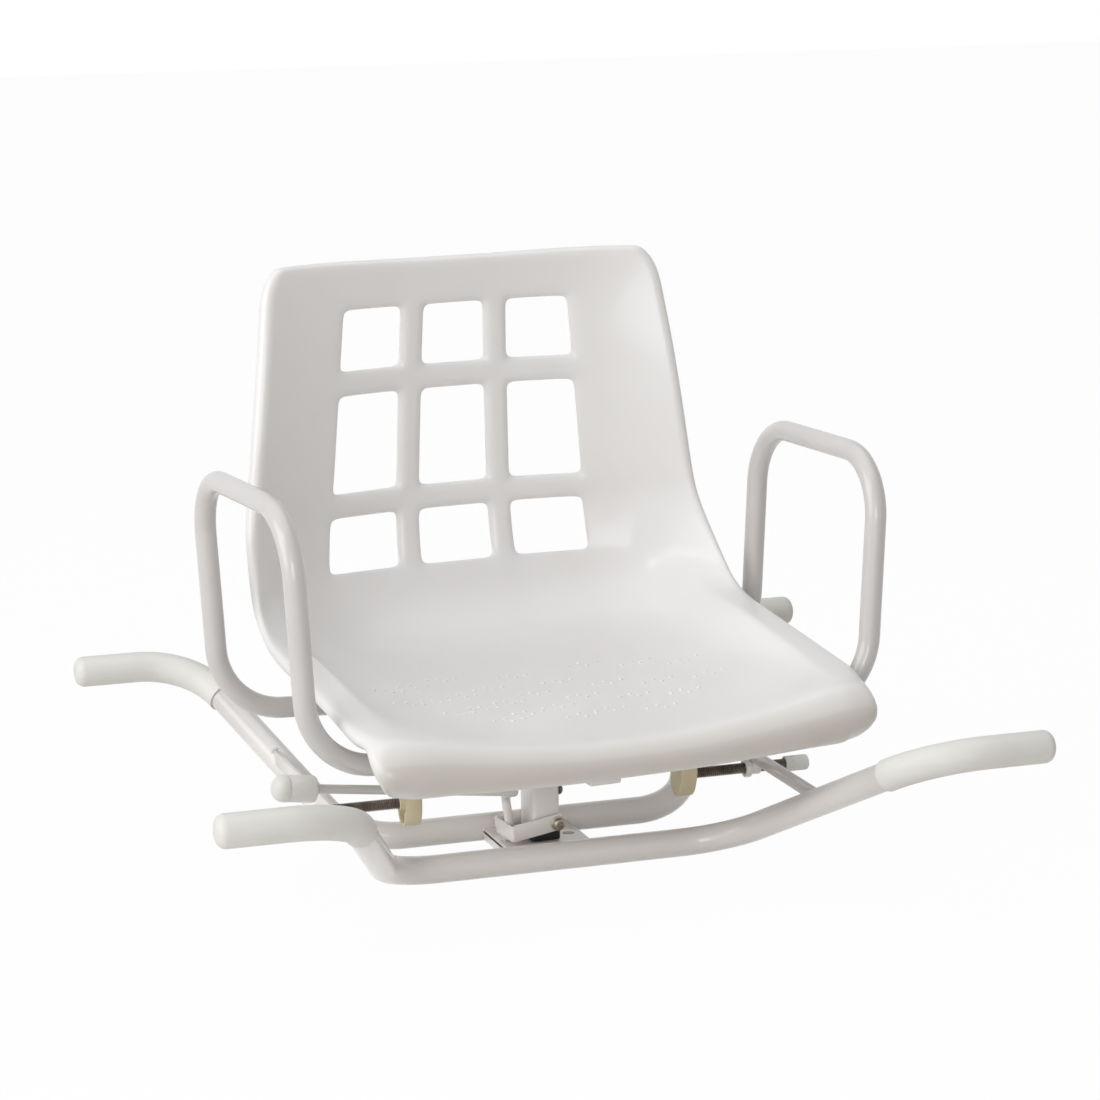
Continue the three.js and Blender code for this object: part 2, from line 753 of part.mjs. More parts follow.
function latchStrap() {
  const rodBack = (lockRadius + strapPivotX) * Math.cos(strapTilt)
    + (strapPivotZ - lockPinTip) * Math.sin(strapTilt);
  const webOuter = -rodBack - leverRodDiameter / 2 - weldGap - strapThickness;
  const outline = new THREE.Shape();
  const far = strapHalfWidth;
  outline.moveTo(strapPastPivot, far);
  outline.absarc(webOuter + strapCorner, far - strapCorner, strapCorner, quarterTurn, 2 * quarterTurn);
  outline.absarc(webOuter + strapCorner, -far + strapCorner, strapCorner, -2 * quarterTurn, -quarterTurn);
  outline.lineTo(strapPastPivot, -far);
  outline.lineTo(strapPastPivot, -far + strapThickness);
  outline.lineTo(webOuter + strapThickness, -far + strapThickness);
  outline.lineTo(webOuter + strapThickness, far - strapThickness);
  outline.lineTo(strapPastPivot, far - strapThickness);
  const geometry = new THREE.ExtrudeGeometry(outline, {
    depth: strapAbovePivot + strapBelowPivot,
    bevelEnabled: false,
    curveSegments: bendSteps,
  });
  geometry.translate(0, 0, -strapBelowPivot);
  const bore = barY(strapScrewDiameter / 2 + fitGap, -far - cutOverrun, far + cutOverrun);
  const strap = cut(toSolid(geometry), bore);
  return strap.rotate([0, -strapTiltDegrees, 0]).translate([strapPivotX, 0, strapPivotZ]);
}

// A shouldered screw passes through each strap arm and ends in the post wall
function strapScrew(side) {
  const headStart = strapHalfWidth + weldGap;
  const inner = postDepth / 2 - postWall;
  const head = barY(strapScrewHeadDiameter / 2, headStart, headStart + strapScrewHeadHeight, hexSides);
  const shank = barY(strapScrewDiameter / 2, inner, headStart + strapScrewHeadHeight / 2);
  const placed = join(head, shank).translate([strapPivotX, 0, strapPivotZ]);
  return side < 0 ? placed.mirror([0, 1, 0]) : placed;
}

// Seat shell
function toSeatPlace([depthShare, heightShare]) {
  const panRise = Math.min(heightShare, 1) * panHeight;
  const backRise = Math.max(heightShare - 1, 0) * (seatHeight - panHeight);
  return new THREE.Vector3(0, seatFrontY + depthShare * seatDepth, seatBottomZ + panRise + backRise);
}

const middleCurve = new THREE.CatmullRomCurve3(middleShares.map(toSeatPlace));
const rimCurve = new THREE.CatmullRomCurve3(rimShares.map(toSeatPlace));

function between(values, t) {
  const place = t * (values.length - 1);
  const index = Math.min(Math.floor(place), values.length - 2);
  return values[index] + (values[index + 1] - values[index]) * (place - index);
}

const smoothWidths = new THREE.CatmullRomCurve3(
  halfWidthShares.map((share) => new THREE.Vector3(share * seatWidth, 0, 0)),
);

function stationList() {
  const spans = stationCounts.length;
  const list = [0];
  stationCounts.forEach((count, span) => {
    for (let k = 1; k <= count; k += 1) {
      list.push((span + k / count) / spans);
    }
  });
  return list;
}

// How far a rounded plan corner draws the edge in, at a given distance from the end row
function cornerDraw(radius, distance) {
  const short = Math.max(radius - distance, 0);
  return radius - Math.sqrt(radius * radius - short * short);
}

const frontEnd = middleCurve.getPoint(0);
const backEnd = middleCurve.getPoint(1);

function seatPoint(t, s, inset) {
  const middle = middleCurve.getPoint(t);
  const rim = rimCurve.getPoint(t);
  const full = smoothWidths.getPoint(t).x;
  const fromFront = middle.distanceTo(frontEnd);
  const fromBack = middle.distanceTo(backEnd);
  const drawn = cornerDraw(seatCornerRadius, fromFront) + cornerDraw(backCornerRadius, fromBack);
  const edge = full - between(rimThicknesses, t) / 2 - drawn - inset;
  const x = s * edge;
  const rise = (Math.abs(x) / full) ** between(dishPowers, t);
  return middle.lerp(rim, rise).setX(x);
}

const probe = 0.002;

function seatNormal(t, s, inset) {
  const ahead = seatPoint(Math.min(t + probe, 1), s, inset);
  ahead.sub(seatPoint(Math.max(t - probe, 0), s, inset));
  const across = seatPoint(t, Math.min(s + probe, 1), inset);
  across.sub(seatPoint(t, Math.max(s - probe, -1), inset));
  const normal = across.cross(ahead).normalize();
  return normal.setX(normal.x * flankShare).normalize();
}

function seatThickness(t, s) {
  const middle = middleCurve.getPoint(t);
  const sideRoom = (1 - Math.abs(s)) * Math.abs(seatPoint(t, 1, 0).x);
  const room = Math.min(sideRoom, middle.distanceTo(frontEnd), middle.distanceTo(backEnd), shellEdgeZone);
  const share = (1 - room / shellEdgeZone) ** 2;
  return shellFieldThickness + (between(rimThicknesses, t) - shellFieldThickness) * share;
}

// A closed skin: the sitter's side, the far side and a rounded rim between them.
// An inset draws the same skin inside its own wall.
function seatSkin(inset, divisions, rimSteps) {
  const stations = stationList();
  const rows = stations.length;
  const columns = divisions + 1;
  const shares = Array.from({ length: columns }, (_, j) => {
    const even = (2 * j) / divisions - 1;
    return (even + Math.sin((even * Math.PI) / 2)) / 2;
  });
  const positions = [];
  const normals = [];
  const triangles = [];
  const top = [];
  const under = [];
  for (let i = 0; i < rows; i += 1) {
    const t = stations[i];
    for (let j = 0; j < columns; j += 1) {
      const point = seatPoint(t, shares[j], inset);
      const normal = seatNormal(t, shares[j], inset);
      const thickness = seatThickness(t, shares[j]);
      normals.push(normal);
      top.push(point.clone().addScaledVector(normal, -inset));
      under.push(point.clone().addScaledVector(normal, inset - thickness));
    }
  }
  const count = rows * columns;
  top.forEach((point) => positions.push(...point.toArray()));
  under.forEach((point) => positions.push(...point.toArray()));
  const at = (i, j) => i * columns + j;
  for (let i = 0; i < rows - 1; i += 1) {
    for (let j = 0; j < columns - 1; j += 1) {
      const [a, b, c, d] = [at(i, j), at(i, j + 1), at(i + 1, j + 1), at(i + 1, j)];
      triangles.push(a, b, c, a, c, d);
      triangles.push(count + a, count + c, count + b, count + a, count + d, count + c);
    }
  }
  const loop = [];
  for (let j = 0; j < columns - 1; j += 1) loop.push(at(0, j));
  for (let i = 0; i < rows - 1; i += 1) loop.push(at(i, columns - 1));
  for (let j = columns - 1; j > 0; j -= 1) loop.push(at(rows - 1, j));
  for (let i = rows - 1; i > 0; i -= 1) loop.push(at(i, 0));
  const rings = [loop];
  for (let m = 1; m < rimSteps; m += 1) {
    const angle = (Math.PI * m) / rimSteps;
    const ring = loop.map((vertex, k) => {
      const before = top[loop[(k + loop.length - 1) % loop.length]];
      const after = top[loop[(k + 1) % loop.length]];
      const outward = after.clone().sub(before).cross(normals[vertex]).normalize();
      const centre = top[vertex].clone().add(under[vertex]).multiplyScalar(1 / 2);
      const half = top[vertex].clone().sub(centre);
      const point = centre.addScaledVector(outward, half.length() * Math.sin(angle));
      point.addScaledVector(half, Math.cos(angle));
      positions.push(...point.toArray());
      return positions.length / pointAxes - 1;
    });
    rings.push(ring);
  }
  rings.push(loop.map((vertex) => vertex + count));
  for (let m = 0; m < rings.length - 1; m += 1) {
    for (let k = 0; k < loop.length; k += 1) {
      const next = (k + 1) % loop.length;
      const [a, b, c, d] = [rings[m][k], rings[m + 1][k], rings[m + 1][next], rings[m][next]];
      triangles.push(a, b, c, a, c, d);
    }
  }
  const geometry = new THREE.BufferGeometry();
  geometry.setAttribute("position", new THREE.Float32BufferAttribute(positions, pointAxes));
  geometry.setIndex(triangles);
  return toSolid(geometry);
}

function windowOutline(corners, grow) {
  const shape = new THREE.Shape();
  const centre = new THREE.Vector2();
  corners.forEach((corner) => centre.addScaledVector(corner, 1 / corners.length));
  const grown = corners.map((corner) => {
    const away = corner.clone().sub(centre);
    return corner.clone().add(new THREE.Vector2(Math.sign(away.x) * grow, Math.sign(away.y) * grow));
  });
  const radius = windowCorner;
  grown.forEach((corner, k) => {
    const before = grown[(k + grown.length - 1) % grown.length].clone().sub(corner).normalize();
    const after = grown[(k + 1) % grown.length].clone().sub(corner).normalize();
    const entry = corner.clone().addScaledVector(before, radius);
    const exit = corner.clone().addScaledVector(after, radius);
    if (k === 0) shape.moveTo(entry.x, entry.y);
    else shape.lineTo(entry.x, entry.y);
    shape.quadraticCurveTo(corner.x, corner.y, exit.x, exit.y);
  });
  return shape;
}

const windowRowCount = windowRowShares.length;
const windowShareSum = windowRowShares.reduce((sum, share) => sum + share);
const windowRowRoom = windowTopZ - windowFootZ - windowRib * (windowRowCount - 1);

function windowHalfWidthAt(z) {
  const share = (windowTopZ - z) / (windowTopZ - windowFootZ);
  return windowTopHalfWidth + (windowFootHalfWidth - windowTopHalfWidth) * share;
}

function windowCutters(grow) {
  const cutters = [];
  const columns = windowRowCount;
  let top = windowTopZ;
  windowRowShares.forEach((share) => {
    const foot = top - (windowRowRoom * share) / windowShareSum;
    for (let column = 0; column < columns; column += 1) {
      const edges = [foot, top].map((z) => {
        const half = windowHalfWidthAt(z);
        const wide = (2 * half - windowRib * (columns - 1)) / columns;
        const left = -half + column * (wide + windowRib);
        return [left, left + wide];
      });
      const [low, high] = edges;
      const corners = [
        new THREE.Vector2(low[0], foot), new THREE.Vector2(low[1], foot),
        new THREE.Vector2(high[1], top), new THREE.Vector2(high[0], top),
      ];
      const geometry = new THREE.ExtrudeGeometry(windowOutline(corners, grow), {
        depth: windowCutLength,
        bevelEnabled: false,
        curveSegments: 2,
      });
      geometry.rotateX(Math.PI / 2);
      geometry.translate(0, windowCutFront + windowCutLength, 0);
      cutters.push(toSolid(geometry));
    }
    top = foot - windowRib;
  });
  return cutters;
}

// A boss stands up from its foot to the middle of the double wall above it
function seatBossTop(x, y) {
  let front = 0;
  let back = panEndShare;
  let point = seatPoint(front, 0, 0);
  for (let k = 0; k < searchSteps; k += 1) {
    const t = (front + back) / 2;
    point = seatPoint(t, x / seatPoint(t, 1, 0).x, 0);
    if (point.y < y) front = t;
    else back = t;
  }
  return point.z - shellFieldThickness / 2;
}

function seatShell() {
  const outer = seatSkin(0, crossDivisions, rimRings);
  const inner = cut(seatSkin(shellWall, innerCrossDivisions, innerRimRings), ...windowCutters(shellWall));
  const hollow = cut(outer, inner);
  const bosses = boltPlaces.map(({ x, y }) => (
    barZ(seatBossDiameter / 2, bossFoot, seatBossTop(x, y)).translate([x, y, 0])
  ));
  const drain = barZ(drainDiameter / 2, seatBottomZ, armRunZ + cutOverrun, boreSides);
  const drains = [-1, 1].map((side) => drain.translate([(side * drainSpacing) / 2, drainY, 0]));
  const bores = boltBores(bossFoot - cutOverrun, boltTip + fitGap);
  return cut(join(hollow, ...bosses), ...windowCutters(0), ...bores, ...drains);
}

// Assembly
const bathSeat = new THREE.Group();
const frameGroup = new THREE.Group();
frameGroup.position.z = frameTubeRadius;
bathSeat.add(frameGroup);

frameGroup.add(named("front_frame_tube", frameTube(-1), powderCoat()));
frameGroup.add(named("rear_frame_tube", frameTube(1), powderCoat()));
for (const [endName, side] of [["front", -1], ["rear", 1]]) {
  for (const [handName, across] of [["left", -1], ["right", 1]]) {
    frameGroup.add(named(`${endName}_${handName}_grip`, handGrip(across, side), gripPlastic()));
  }
}
const clamps = [["left", -1, leftKnobInner, 0], ["right", 1, rightKnobInner, rightKnobTurnDegrees]];
for (const [handName, across, inner, turnDegrees] of clamps) {
  frameGroup.add(named(`${handName}_side_bar`, sideBar(across), powderCoat()));
  frameGroup.add(named(`${handName}_screw_nut`, screwNut(across), powderCoat()));
  frameGroup.add(named(`${handName}_clamp_screw`, clampScrew(across, inner), darkSteel()));
  frameGroup.add(named(`${handName}_hand_knob`, handKnob(across, inner, turnDegrees), creamPlastic()));
  frameGroup.add(named(`${handName}_wall_cap`, wallCap(across, inner), capRubber()));
}
frameGroup.add(named("swivel_base_plate", basePlate(), powderCoat()));
frameGroup.add(named("pivot_pin", pivotPin(), zincSteel()));
frameGroup.add(named("pivot_washer", pivotWasher(), zincSteel()));
frameGroup.add(named("pivot_nut", pivotNut(), zincSteel()));

const seatGroup = new THREE.Group();
seatGroup.rotation.z = THREE.MathUtils.degToRad(restSwivelDegrees);
frameGroup.add(seatGroup);

seatGroup.add(named("seat_shell", seatShell(), seatPlastic()));
seatGroup.add(named("left_armrest", armrest(-1), powderCoat()));
seatGroup.add(named("right_armrest", armrest(1), powderCoat()));
seatGroup.add(named("seat_carrier_plate", carrierPlate(), powderCoat()));
seatGroup.add(named("swivel_post", swivelPost(), powderCoat()));
seatGroup.add(named("glide_block", glideBlock(), blackNylon()));
seatGroup.add(named("upper_bush", upperBush(), blackNylon()));
seatGroup.add(named("retaining_bolt", retainingBolt(), darkSteel()));
for (const place of boltPlaces) {
  seatGroup.add(named(`${place.name}_seat_bolt`, seatBolt(place), zincSteel()));
}
for (const [endName, side] of [["front", -1], ["rear", 1]]) {
  seatGroup.add(named(`${endName}_strap_screw`, strapScrew(side), zincSteel()));
}
seatGroup.add(named("lever_rod", leverRod(), powderCoat()));
seatGroup.add(named("lever_grip", leverGrip(), gripPlastic()));
seatGroup.add(named("latch_strap", latchStrap(), powderCoat()));

export default bathSeat;
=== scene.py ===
"""Looks of a swivel bath seat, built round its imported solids.

Sizes are written in millimetres, measured from the level of the frame tubes' centrelines,
and the seat's pieces are laid out square to the seat before they are turned to where it is parked.
"""

import json
import logging
import math
from dataclasses import dataclass
from enum import Enum

import bmesh
import bpy
from mathutils import Matrix, Vector


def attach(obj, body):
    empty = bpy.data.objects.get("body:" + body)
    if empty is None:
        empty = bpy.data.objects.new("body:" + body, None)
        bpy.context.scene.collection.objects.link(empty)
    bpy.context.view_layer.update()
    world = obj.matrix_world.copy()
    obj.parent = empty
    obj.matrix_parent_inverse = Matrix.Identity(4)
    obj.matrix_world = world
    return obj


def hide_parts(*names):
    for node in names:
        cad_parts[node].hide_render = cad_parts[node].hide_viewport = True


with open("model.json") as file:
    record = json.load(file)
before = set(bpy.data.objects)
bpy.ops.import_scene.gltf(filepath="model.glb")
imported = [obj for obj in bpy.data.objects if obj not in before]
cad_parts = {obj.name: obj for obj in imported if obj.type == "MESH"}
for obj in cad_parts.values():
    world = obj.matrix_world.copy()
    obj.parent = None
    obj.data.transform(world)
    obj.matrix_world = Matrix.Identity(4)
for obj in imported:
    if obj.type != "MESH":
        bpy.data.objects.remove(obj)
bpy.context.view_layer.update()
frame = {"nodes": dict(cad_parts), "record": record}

LOG = logging.getLogger("bath_seat")
MM = 0.001
# The height of the tubes' centrelines over the floor, in millimetres.
TUBE_LEVEL = 12.5
# How far the parked seat is turned.
REST_SWIVEL = math.radians(5.84)
# An edge that turns more than this is shaded sharp.
SHARP = math.radians(38)
# Vertices nearer to each other than this many millimetres become one.
MERGE = 0.002
ALONG = {"X": Vector((1, 0, 0)), "Y": Vector((0, 1, 0)), "Z": Vector((0, 0, 1))}


class Body(Enum):
    """The bodies that pieces ride on."""

    FRAME = "bath_frame"
    SEAT = "swivel_seat"
    LEVER = "lock_lever"
    LEFT_PAD = "left_clamp_pad"
    RIGHT_PAD = "right_clamp_pad"
    LEFT_DRIVE = "left_clamp_drive"
    RIGHT_DRIVE = "right_clamp_drive"


class Slot(Enum):
    """The record's finishes."""

    COAT = "powder_coat"
    GRIP = "grip_plastic"
    SEAT = "seat_plastic"
    KNOB = "knob_plastic"
    CAP = "cap_rubber"
    NYLON = "black_nylon"
    DARK = "dark_steel"
    ZINC = "zinc_steel"


class Side(Enum):
    """Which end of the seat's width or of the frame a piece is on."""

    LEFT = -1
    RIGHT = 1

    @property
    def word(self) -> str:
        """The side's name as the nodes write it."""
        return self.name.lower()


def frame_place() -> Matrix:
    """The transform from millimetres at tube level to metres in the row frame."""
    return Matrix.Translation((0, 0, TUBE_LEVEL * MM)) @ Matrix.Scale(MM, 4)


def seat_place() -> Matrix:
    """The same transform for pieces that are laid out square to the parked seat."""
    return frame_place() @ Matrix.Rotation(REST_SWIVEL, 4, "Z")


class Socket:
    """A shader value that Python expressions work on; each operation adds its Math node."""

    def __init__(self, shader: "Shader", output: bpy.types.NodeSocket) -> None:
        """Wraps one output.

        Args:
            shader: the material being built.
            output: the node output that holds the value.
        """
        self.shader = shader
        self.output = output

    def _maths(self, operation: str, other: object, swapped: bool = False) -> "Socket":
        """Adds a Math node.

        Args:
            operation: the node's operation.
            other: a number or another wrapped value.
            swapped: whether the other operand comes first.

        Returns:
            The wrapped result.
        """
        first, second = (other, self) if swapped else (self, other)
        return self.shader.node("ShaderNodeMath", {"operation": operation}, {0: first, 1: second})

    def __add__(self, other: object) -> "Socket":
        """The sum."""
        return self._maths("ADD", other)

    def __radd__(self, other: object) -> "Socket":
        """The sum, number first."""
        return self._maths("ADD", other, True)

    def __sub__(self, other: object) -> "Socket":
        """The difference."""
        return self._maths("SUBTRACT", other)

    def __mul__(self, other: object) -> "Socket":
        """The product."""
        return self._maths("MULTIPLY", other)

    def ramp(self, low: float, high: float) -> "Socket":
        """Maps a range of the value to nought to one, clamped.

        Args:
            low: the value that gives nought.
            high: the value that gives one.

        Returns:
            The wrapped result.
        """
        sockets = {"Value": self, "From Min": low, "From Max": high}
        return self.shader.node("ShaderNodeMapRange", {"clamp": True}, sockets, "Result")


class Shader:
    """One material under construction."""

    def __init__(self, name: str, tree: bpy.types.NodeTree = None) -> None:
        """Starts an empty material, or works on another node tree.

        Args:
            name: the material's name.
            tree: the emptied node tree of something else, such as the world.
        """
        self.material = None
        self.tree = tree
        if tree is None:
            self.material = bpy.data.materials.new(name)
            self.material.use_nodes = True
            self.tree = self.material.node_tree
            self.tree.nodes.clear()
            self.coordinates = self.node("ShaderNodeTexCoord", {}, {}, "Object")

    def node(self, kind: str, settings: dict, sockets: dict, output: object = 0) -> Socket:
        """Adds one node.

        Args:
            kind: the node's type.
            settings: its properties, set first.
            sockets: values or links of its inputs, by name or number.
            output: the output that is wrapped.

        Returns:
            The wrapped output.
        """
        made = self.tree.nodes.new(kind)
        for key, value in settings.items():
            if key == "stops":
                self._stops(made, value)
            else:
                setattr(made, key, value)
        for key, value in sockets.items():
            if isinstance(value, Socket):
                self.tree.links.new(value.output, made.inputs[key])
            else:
                made.inputs[key].default_value = value
        return Socket(self, made.outputs[output])

    @staticmethod
    def _stops(ramp: bpy.types.Node, stops: list) -> None:
        """Sets a colour ramp's stops.

        Args:
            ramp: the ramp node.
            stops: pairs of position and colour.
        """
        elements = ramp.color_ramp.elements
        while len(elements) < len(stops):
            elements.new(0.5)
        for element, (position, colour) in zip(elements, stops):
            element.position = position
            element.color = colour

    def noise(
        self, scale: float, detail: float = 2.0, rough: float = 0.5, stretch: tuple = (1, 1, 1)
    ) -> Socket:
        """Noise on Object coordinates, in lumps per metre.

        Args:
            scale: how many lumps a metre holds.
            detail: octaves of finer noise.
            rough: how strong the finer octaves are.
            stretch: how the coordinates are scaled first.

        Returns:
            The wrapped noise value.
        """
        place = self.node("ShaderNodeMapping", {}, {"Vector": self.coordinates, "Scale": stretch})
        sockets = {"Vector": place, "Scale": scale, "Detail": detail, "Roughness": rough}
        return self.node("ShaderNodeTexNoise", {}, sockets, "Fac")

    def cells(self, scale: float) -> Socket:
        """Distance to the nearest of scattered points, in points per metre."""
        sockets = {"Vector": self.coordinates, "Scale": scale}
        return self.node("ShaderNodeTexVoronoi", {}, sockets, "Distance")

    def axis(self, name: str) -> Socket:
        """One of the Object coordinates, in metres.

        Args:
            name: X, Y or Z.

        Returns:
            The wrapped coordinate.
        """
        return self.node("ShaderNodeSeparateXYZ", {}, {0: self.coordinates}, name)

    def mix(self, share: object, low: object, high: object) -> Socket:
        """Mixes two colours.

        Args:
            share: how much of the second colour shows.
            low: the first colour.
            high: the second colour.

        Returns:
            The wrapped colour.
        """
        settings = {"data_type": "RGBA", "clamp_factor": True}
        return self.node("ShaderNodeMix", settings, {0: share, 6: low, 7: high}, 2)

    def bump(self, height: Socket, depth: float, strength: float) -> Socket:
        """Turns a height into a bumped normal.

        Args:
            height: the wrapped height, from nought to one.
            depth: how many metres one stands for.
            strength: how much of it shows.

        Returns:
            The wrapped normal.
        """
        sockets = {"Strength": strength, "Distance": depth, "Height": height}
        return self.node("ShaderNodeBump", {}, sockets, "Normal")

    def plainly_seen(self) -> Socket:
        """One for camera, glossy and transmission rays, and nought for the rays that light things."""
        rays = ("Is Camera Ray", "Is Glossy Ray", "Is Transmission Ray")
        return sum(self.node("ShaderNodeLightPath", {}, {}, ray) for ray in rays)

    def finish(self, varying: dict, plain: dict) -> bpy.types.Material:
        """Adds the surface shader and the output.

        Args:
            varying: what changes over the surface, by socket.
            plain: single values, set on the shader's own sockets.

        Returns:
            The material.
        """
        surface = self.node("ShaderNodeBsdfPrincipled", {}, {**plain, **varying})
        self.node_output(surface)
        return self.material

    def node_output(self, surface: Socket, kind: str = "ShaderNodeOutputMaterial") -> None:
        """Links a shader to the material's or the world's output."""
        made = self.tree.nodes.new(kind)
        self.tree.links.new(surface.output, made.inputs["Surface"])


def tint(red: float, green: float, blue: float) -> tuple:
    """A colour written as it looks on screen, from nought to one, as the shader's linear light."""
    channels = (red, green, blue)
    return tuple(((c + 0.055) / 1.055) ** 2.4 if c > 0.04045 else c / 12.92 for c in channels) + (1.0,)


# The range of the noise over which a finish goes from its lighter to its darker tone.
MOTTLE = (0.35, 0.7)


@dataclass(frozen=True)
class MouldedGloss:
    """Glossy blow-moulded plastic: faint waviness, soft cloudy tone and faint scuffs in its shine."""

    name: str = "seat_gloss"
    light: tuple = tint(0.884, 0.877, 0.873)
    shade: tuple = tint(0.872, 0.863, 0.857)
    # The lip tone is painted shade on the front roll, which faces down and forward; the two places after
    # it, in metres along the seat's depth, are where it begins and where it is full.
    lip: tuple = tint(0.78, 0.76, 0.735)
    painted_shade_from: float = -0.191
    painted_shade_full: float = -0.207
    roughness: float = 0.4
    clouds: float = 6.0
    waves: float = 22.0
    scuffs: float = 160.0
    wave_depth: float = 0.0004
    plain: tuple = (("Coat Weight", 0.3), ("Coat Roughness", 0.12), ("IOR", 1.5))

    def build(self) -> bpy.types.Material:
        """Builds the material; towards the seat's front edge the tone goes over to the lip's darker tone,
        which is painted shade on the down-facing front roll.

        Returns:
            The material.
        """
        shader = Shader(self.name)
        cloud = shader.noise(self.clouds, 3.0)
        wave = shader.noise(self.waves, 1.0)
        scuff = shader.noise(self.scuffs, 3.0, 0.6, (1.0, 0.3, 1.0))
        body = shader.mix(cloud.ramp(*MOTTLE), self.light, self.shade)
        ahead = shader.axis("Y") * math.cos(REST_SWIVEL) - shader.axis("X") * math.sin(REST_SWIVEL)
        # Painted shade: towards the front edge the seat goes over to the darker lip tone.
        colour = shader.mix(ahead.ramp(self.painted_shade_from, self.painted_shade_full), body, self.lip)
        rough = self.roughness + scuff.ramp(0.4, 0.8) * 0.02 + cloud * 0.03
        normal = shader.bump(wave, self.wave_depth, 0.3)
        varying = {"Base Color": colour, "Roughness": rough, "Normal": normal}
        return shader.finish(varying, dict(self.plain))


@dataclass(frozen=True)
class PowderCoat:
    """Baked powder paint on steel tube: fine orange peel, slightly uneven tone."""

    name: str = "powder_coat"
    light: tuple = tint(0.775, 0.762, 0.755)
    shade: tuple = tint(0.755, 0.74, 0.732)
    # The base tone is painted light on the tubes near the floor, under the seat; the two heights after it,
    # in metres, are where it begins and where it is full.
    base: tuple = tint(0.94, 0.92, 0.905)
    painted_light_from: float = 0.11
    painted_light_full: float = 0.03
    roughness: float = 0.3
    clouds: float = 14.0
    peels: float = 420.0
    dusts: float = 1600.0
    peel_depth: float = 0.00025
    plain: tuple = (("Coat Weight", 0.5), ("Coat Roughness", 0.1), ("IOR", 1.5))

    def build(self) -> bpy.types.Material:
        """Builds the material; towards the floor the tone goes over to the base's lighter tone, which is
        painted light on the low tubes under the seat.

        Returns:
            The material.
        """
        shader = Shader(self.name)
        cloud = shader.noise(self.clouds, 3.0)
        peel = shader.noise(self.peels, 2.0, 0.55)
        dust = shader.noise(self.dusts, 1.0)
        upper = shader.mix(cloud.ramp(*MOTTLE), self.light, self.shade)
        # Painted light: towards the floor the coat goes over to the lighter base tone.
        colour = shader.mix(shader.axis("Z").ramp(self.painted_light_from, self.painted_light_full), upper, self.base)
        rough = self.roughness + peel.ramp(0.4, 0.7) * 0.1
        height = peel * 0.8 + dust * 0.2
        normal = shader.bump(height, self.peel_depth, 0.5)
        varying = {"Base Color": colour, "Roughness": rough, "Normal": normal}
        return shader.finish(varying, dict(self.plain))


@dataclass(frozen=True)
class SoftPlastic:
    """Satin moulded plastic with a fine spark-eroded grain."""

    name: str
    light: tuple
    shade: tuple
    roughness: float = 0.46
    clouds: float = 30.0
    grain: float = 1300.0
    depth: float = 0.00012

    def build(self) -> bpy.types.Material:
        """Builds the material.

        Returns:
            The material.
        """
        shader = Shader(self.name)
        cloud = shader.noise(self.clouds, 3.0)
        pits = shader.cells(self.grain)
        lump = shader.noise(self.grain * 0.5, 2.0)
        colour = shader.mix(cloud.ramp(*MOTTLE), self.light, self.shade)
        rough = self.roughness + lump.ramp(0.3, 0.7) * 0.1
        height = pits * 0.6 + lump * 0.4
        normal = shader.bump(height, self.depth, 0.5)
        varying = {"Base Color": colour, "Roughness": rough, "Normal": normal}
        return shader.finish(varying, {"IOR": 1.48})


@dataclass(frozen=True)
class PlatedSteel:
    """Plated steel: drawn streaks, faint stains and a worn sheen."""

    name: str
    light: tuple
    shade: tuple
    roughness: float
    metallic: float = 0.92
    stains: float = 90.0
    streaks: float = 2200.0
    streak_depth: float = 0.00004

    def build(self) -> bpy.types.Material:
        """Builds the material.

        Returns:
            The material.
        """
        shader = Shader(self.name)
        stain = shader.noise(self.stains, 4.0, 0.6)
        streak = shader.noise(self.streaks, 2.0, 0.5, (0.08, 1.0, 1.0))
        colour = shader.mix(stain.ramp(0.35, 0.68), self.light, self.shade)
        rough = self.roughness + streak.ramp(0.35, 0.7) * 0.14 + stain * 0.06
        normal = shader.bump(streak, self.streak_depth, 0.5)
        varying = {"Base Color": colour, "Roughness": rough, "Normal": normal}
        return shader.finish(varying, {"Metallic": self.metallic})


class Palette:
    """Every finish of the object, built once."""

    def __init__(self) -> None:
        """Builds the materials."""
        makers = {
            Slot.SEAT: MouldedGloss(),
            Slot.COAT: PowderCoat(),
            Slot.GRIP: SoftPlastic("grip_satin", tint(0.85, 0.843, 0.828), tint(0.83, 0.822, 0.805)),
            Slot.KNOB: SoftPlastic("knob_cream", tint(0.87, 0.82, 0.7), tint(0.82, 0.77, 0.64)),
            Slot.CAP: SoftPlastic("cap_white", tint(0.93, 0.93, 0.925), tint(0.9, 0.9, 0.895), 0.5),
            Slot.NYLON: SoftPlastic("black_nylon", tint(0.1, 0.1, 0.105), tint(0.07, 0.07, 0.072), 0.42),
            Slot.DARK: PlatedSteel("dark_plate", tint(0.5, 0.46, 0.42), tint(0.36, 0.33, 0.3), 0.36),
            Slot.ZINC: PlatedSteel("zinc_plate", tint(0.72, 0.69, 0.63), tint(0.56, 0.53, 0.48), 0.32),
        }
        self.by_slot = {slot: maker.build() for slot, maker in makers.items()}

    def dress_solids(self) -> None:
        """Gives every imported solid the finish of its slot."""
        slots = {part["node"]: part["material_slot"] for part in frame["record"]["subparts"]}
        for node, solid in frame["nodes"].items():
            solid.data.materials.clear()
            solid.data.materials.append(self.by_slot[Slot(slots[node])])


def mesh_data(name: str, mesh: bmesh.types.BMesh) -> bpy.types.Mesh:
    """Turns a bmesh into mesh data.

    Args:
        name: the data's name.
        mesh: the bmesh; it is freed.

    Returns:
        The mesh data.
    """
    data = bpy.data.meshes.new(name)
    mesh.to_mesh(data)
    mesh.free()
    return data


def scene_object(name: str, data: bpy.types.ID) -> bpy.types.Object:
    """Puts a new object into the scene.

    Args:
        name: the object's name.
        data: its mesh, lamp or camera.

    Returns:
        The object.
    """
    made = bpy.data.objects.new(name, data)
    bpy.context.scene.collection.objects.link(made)
    return made


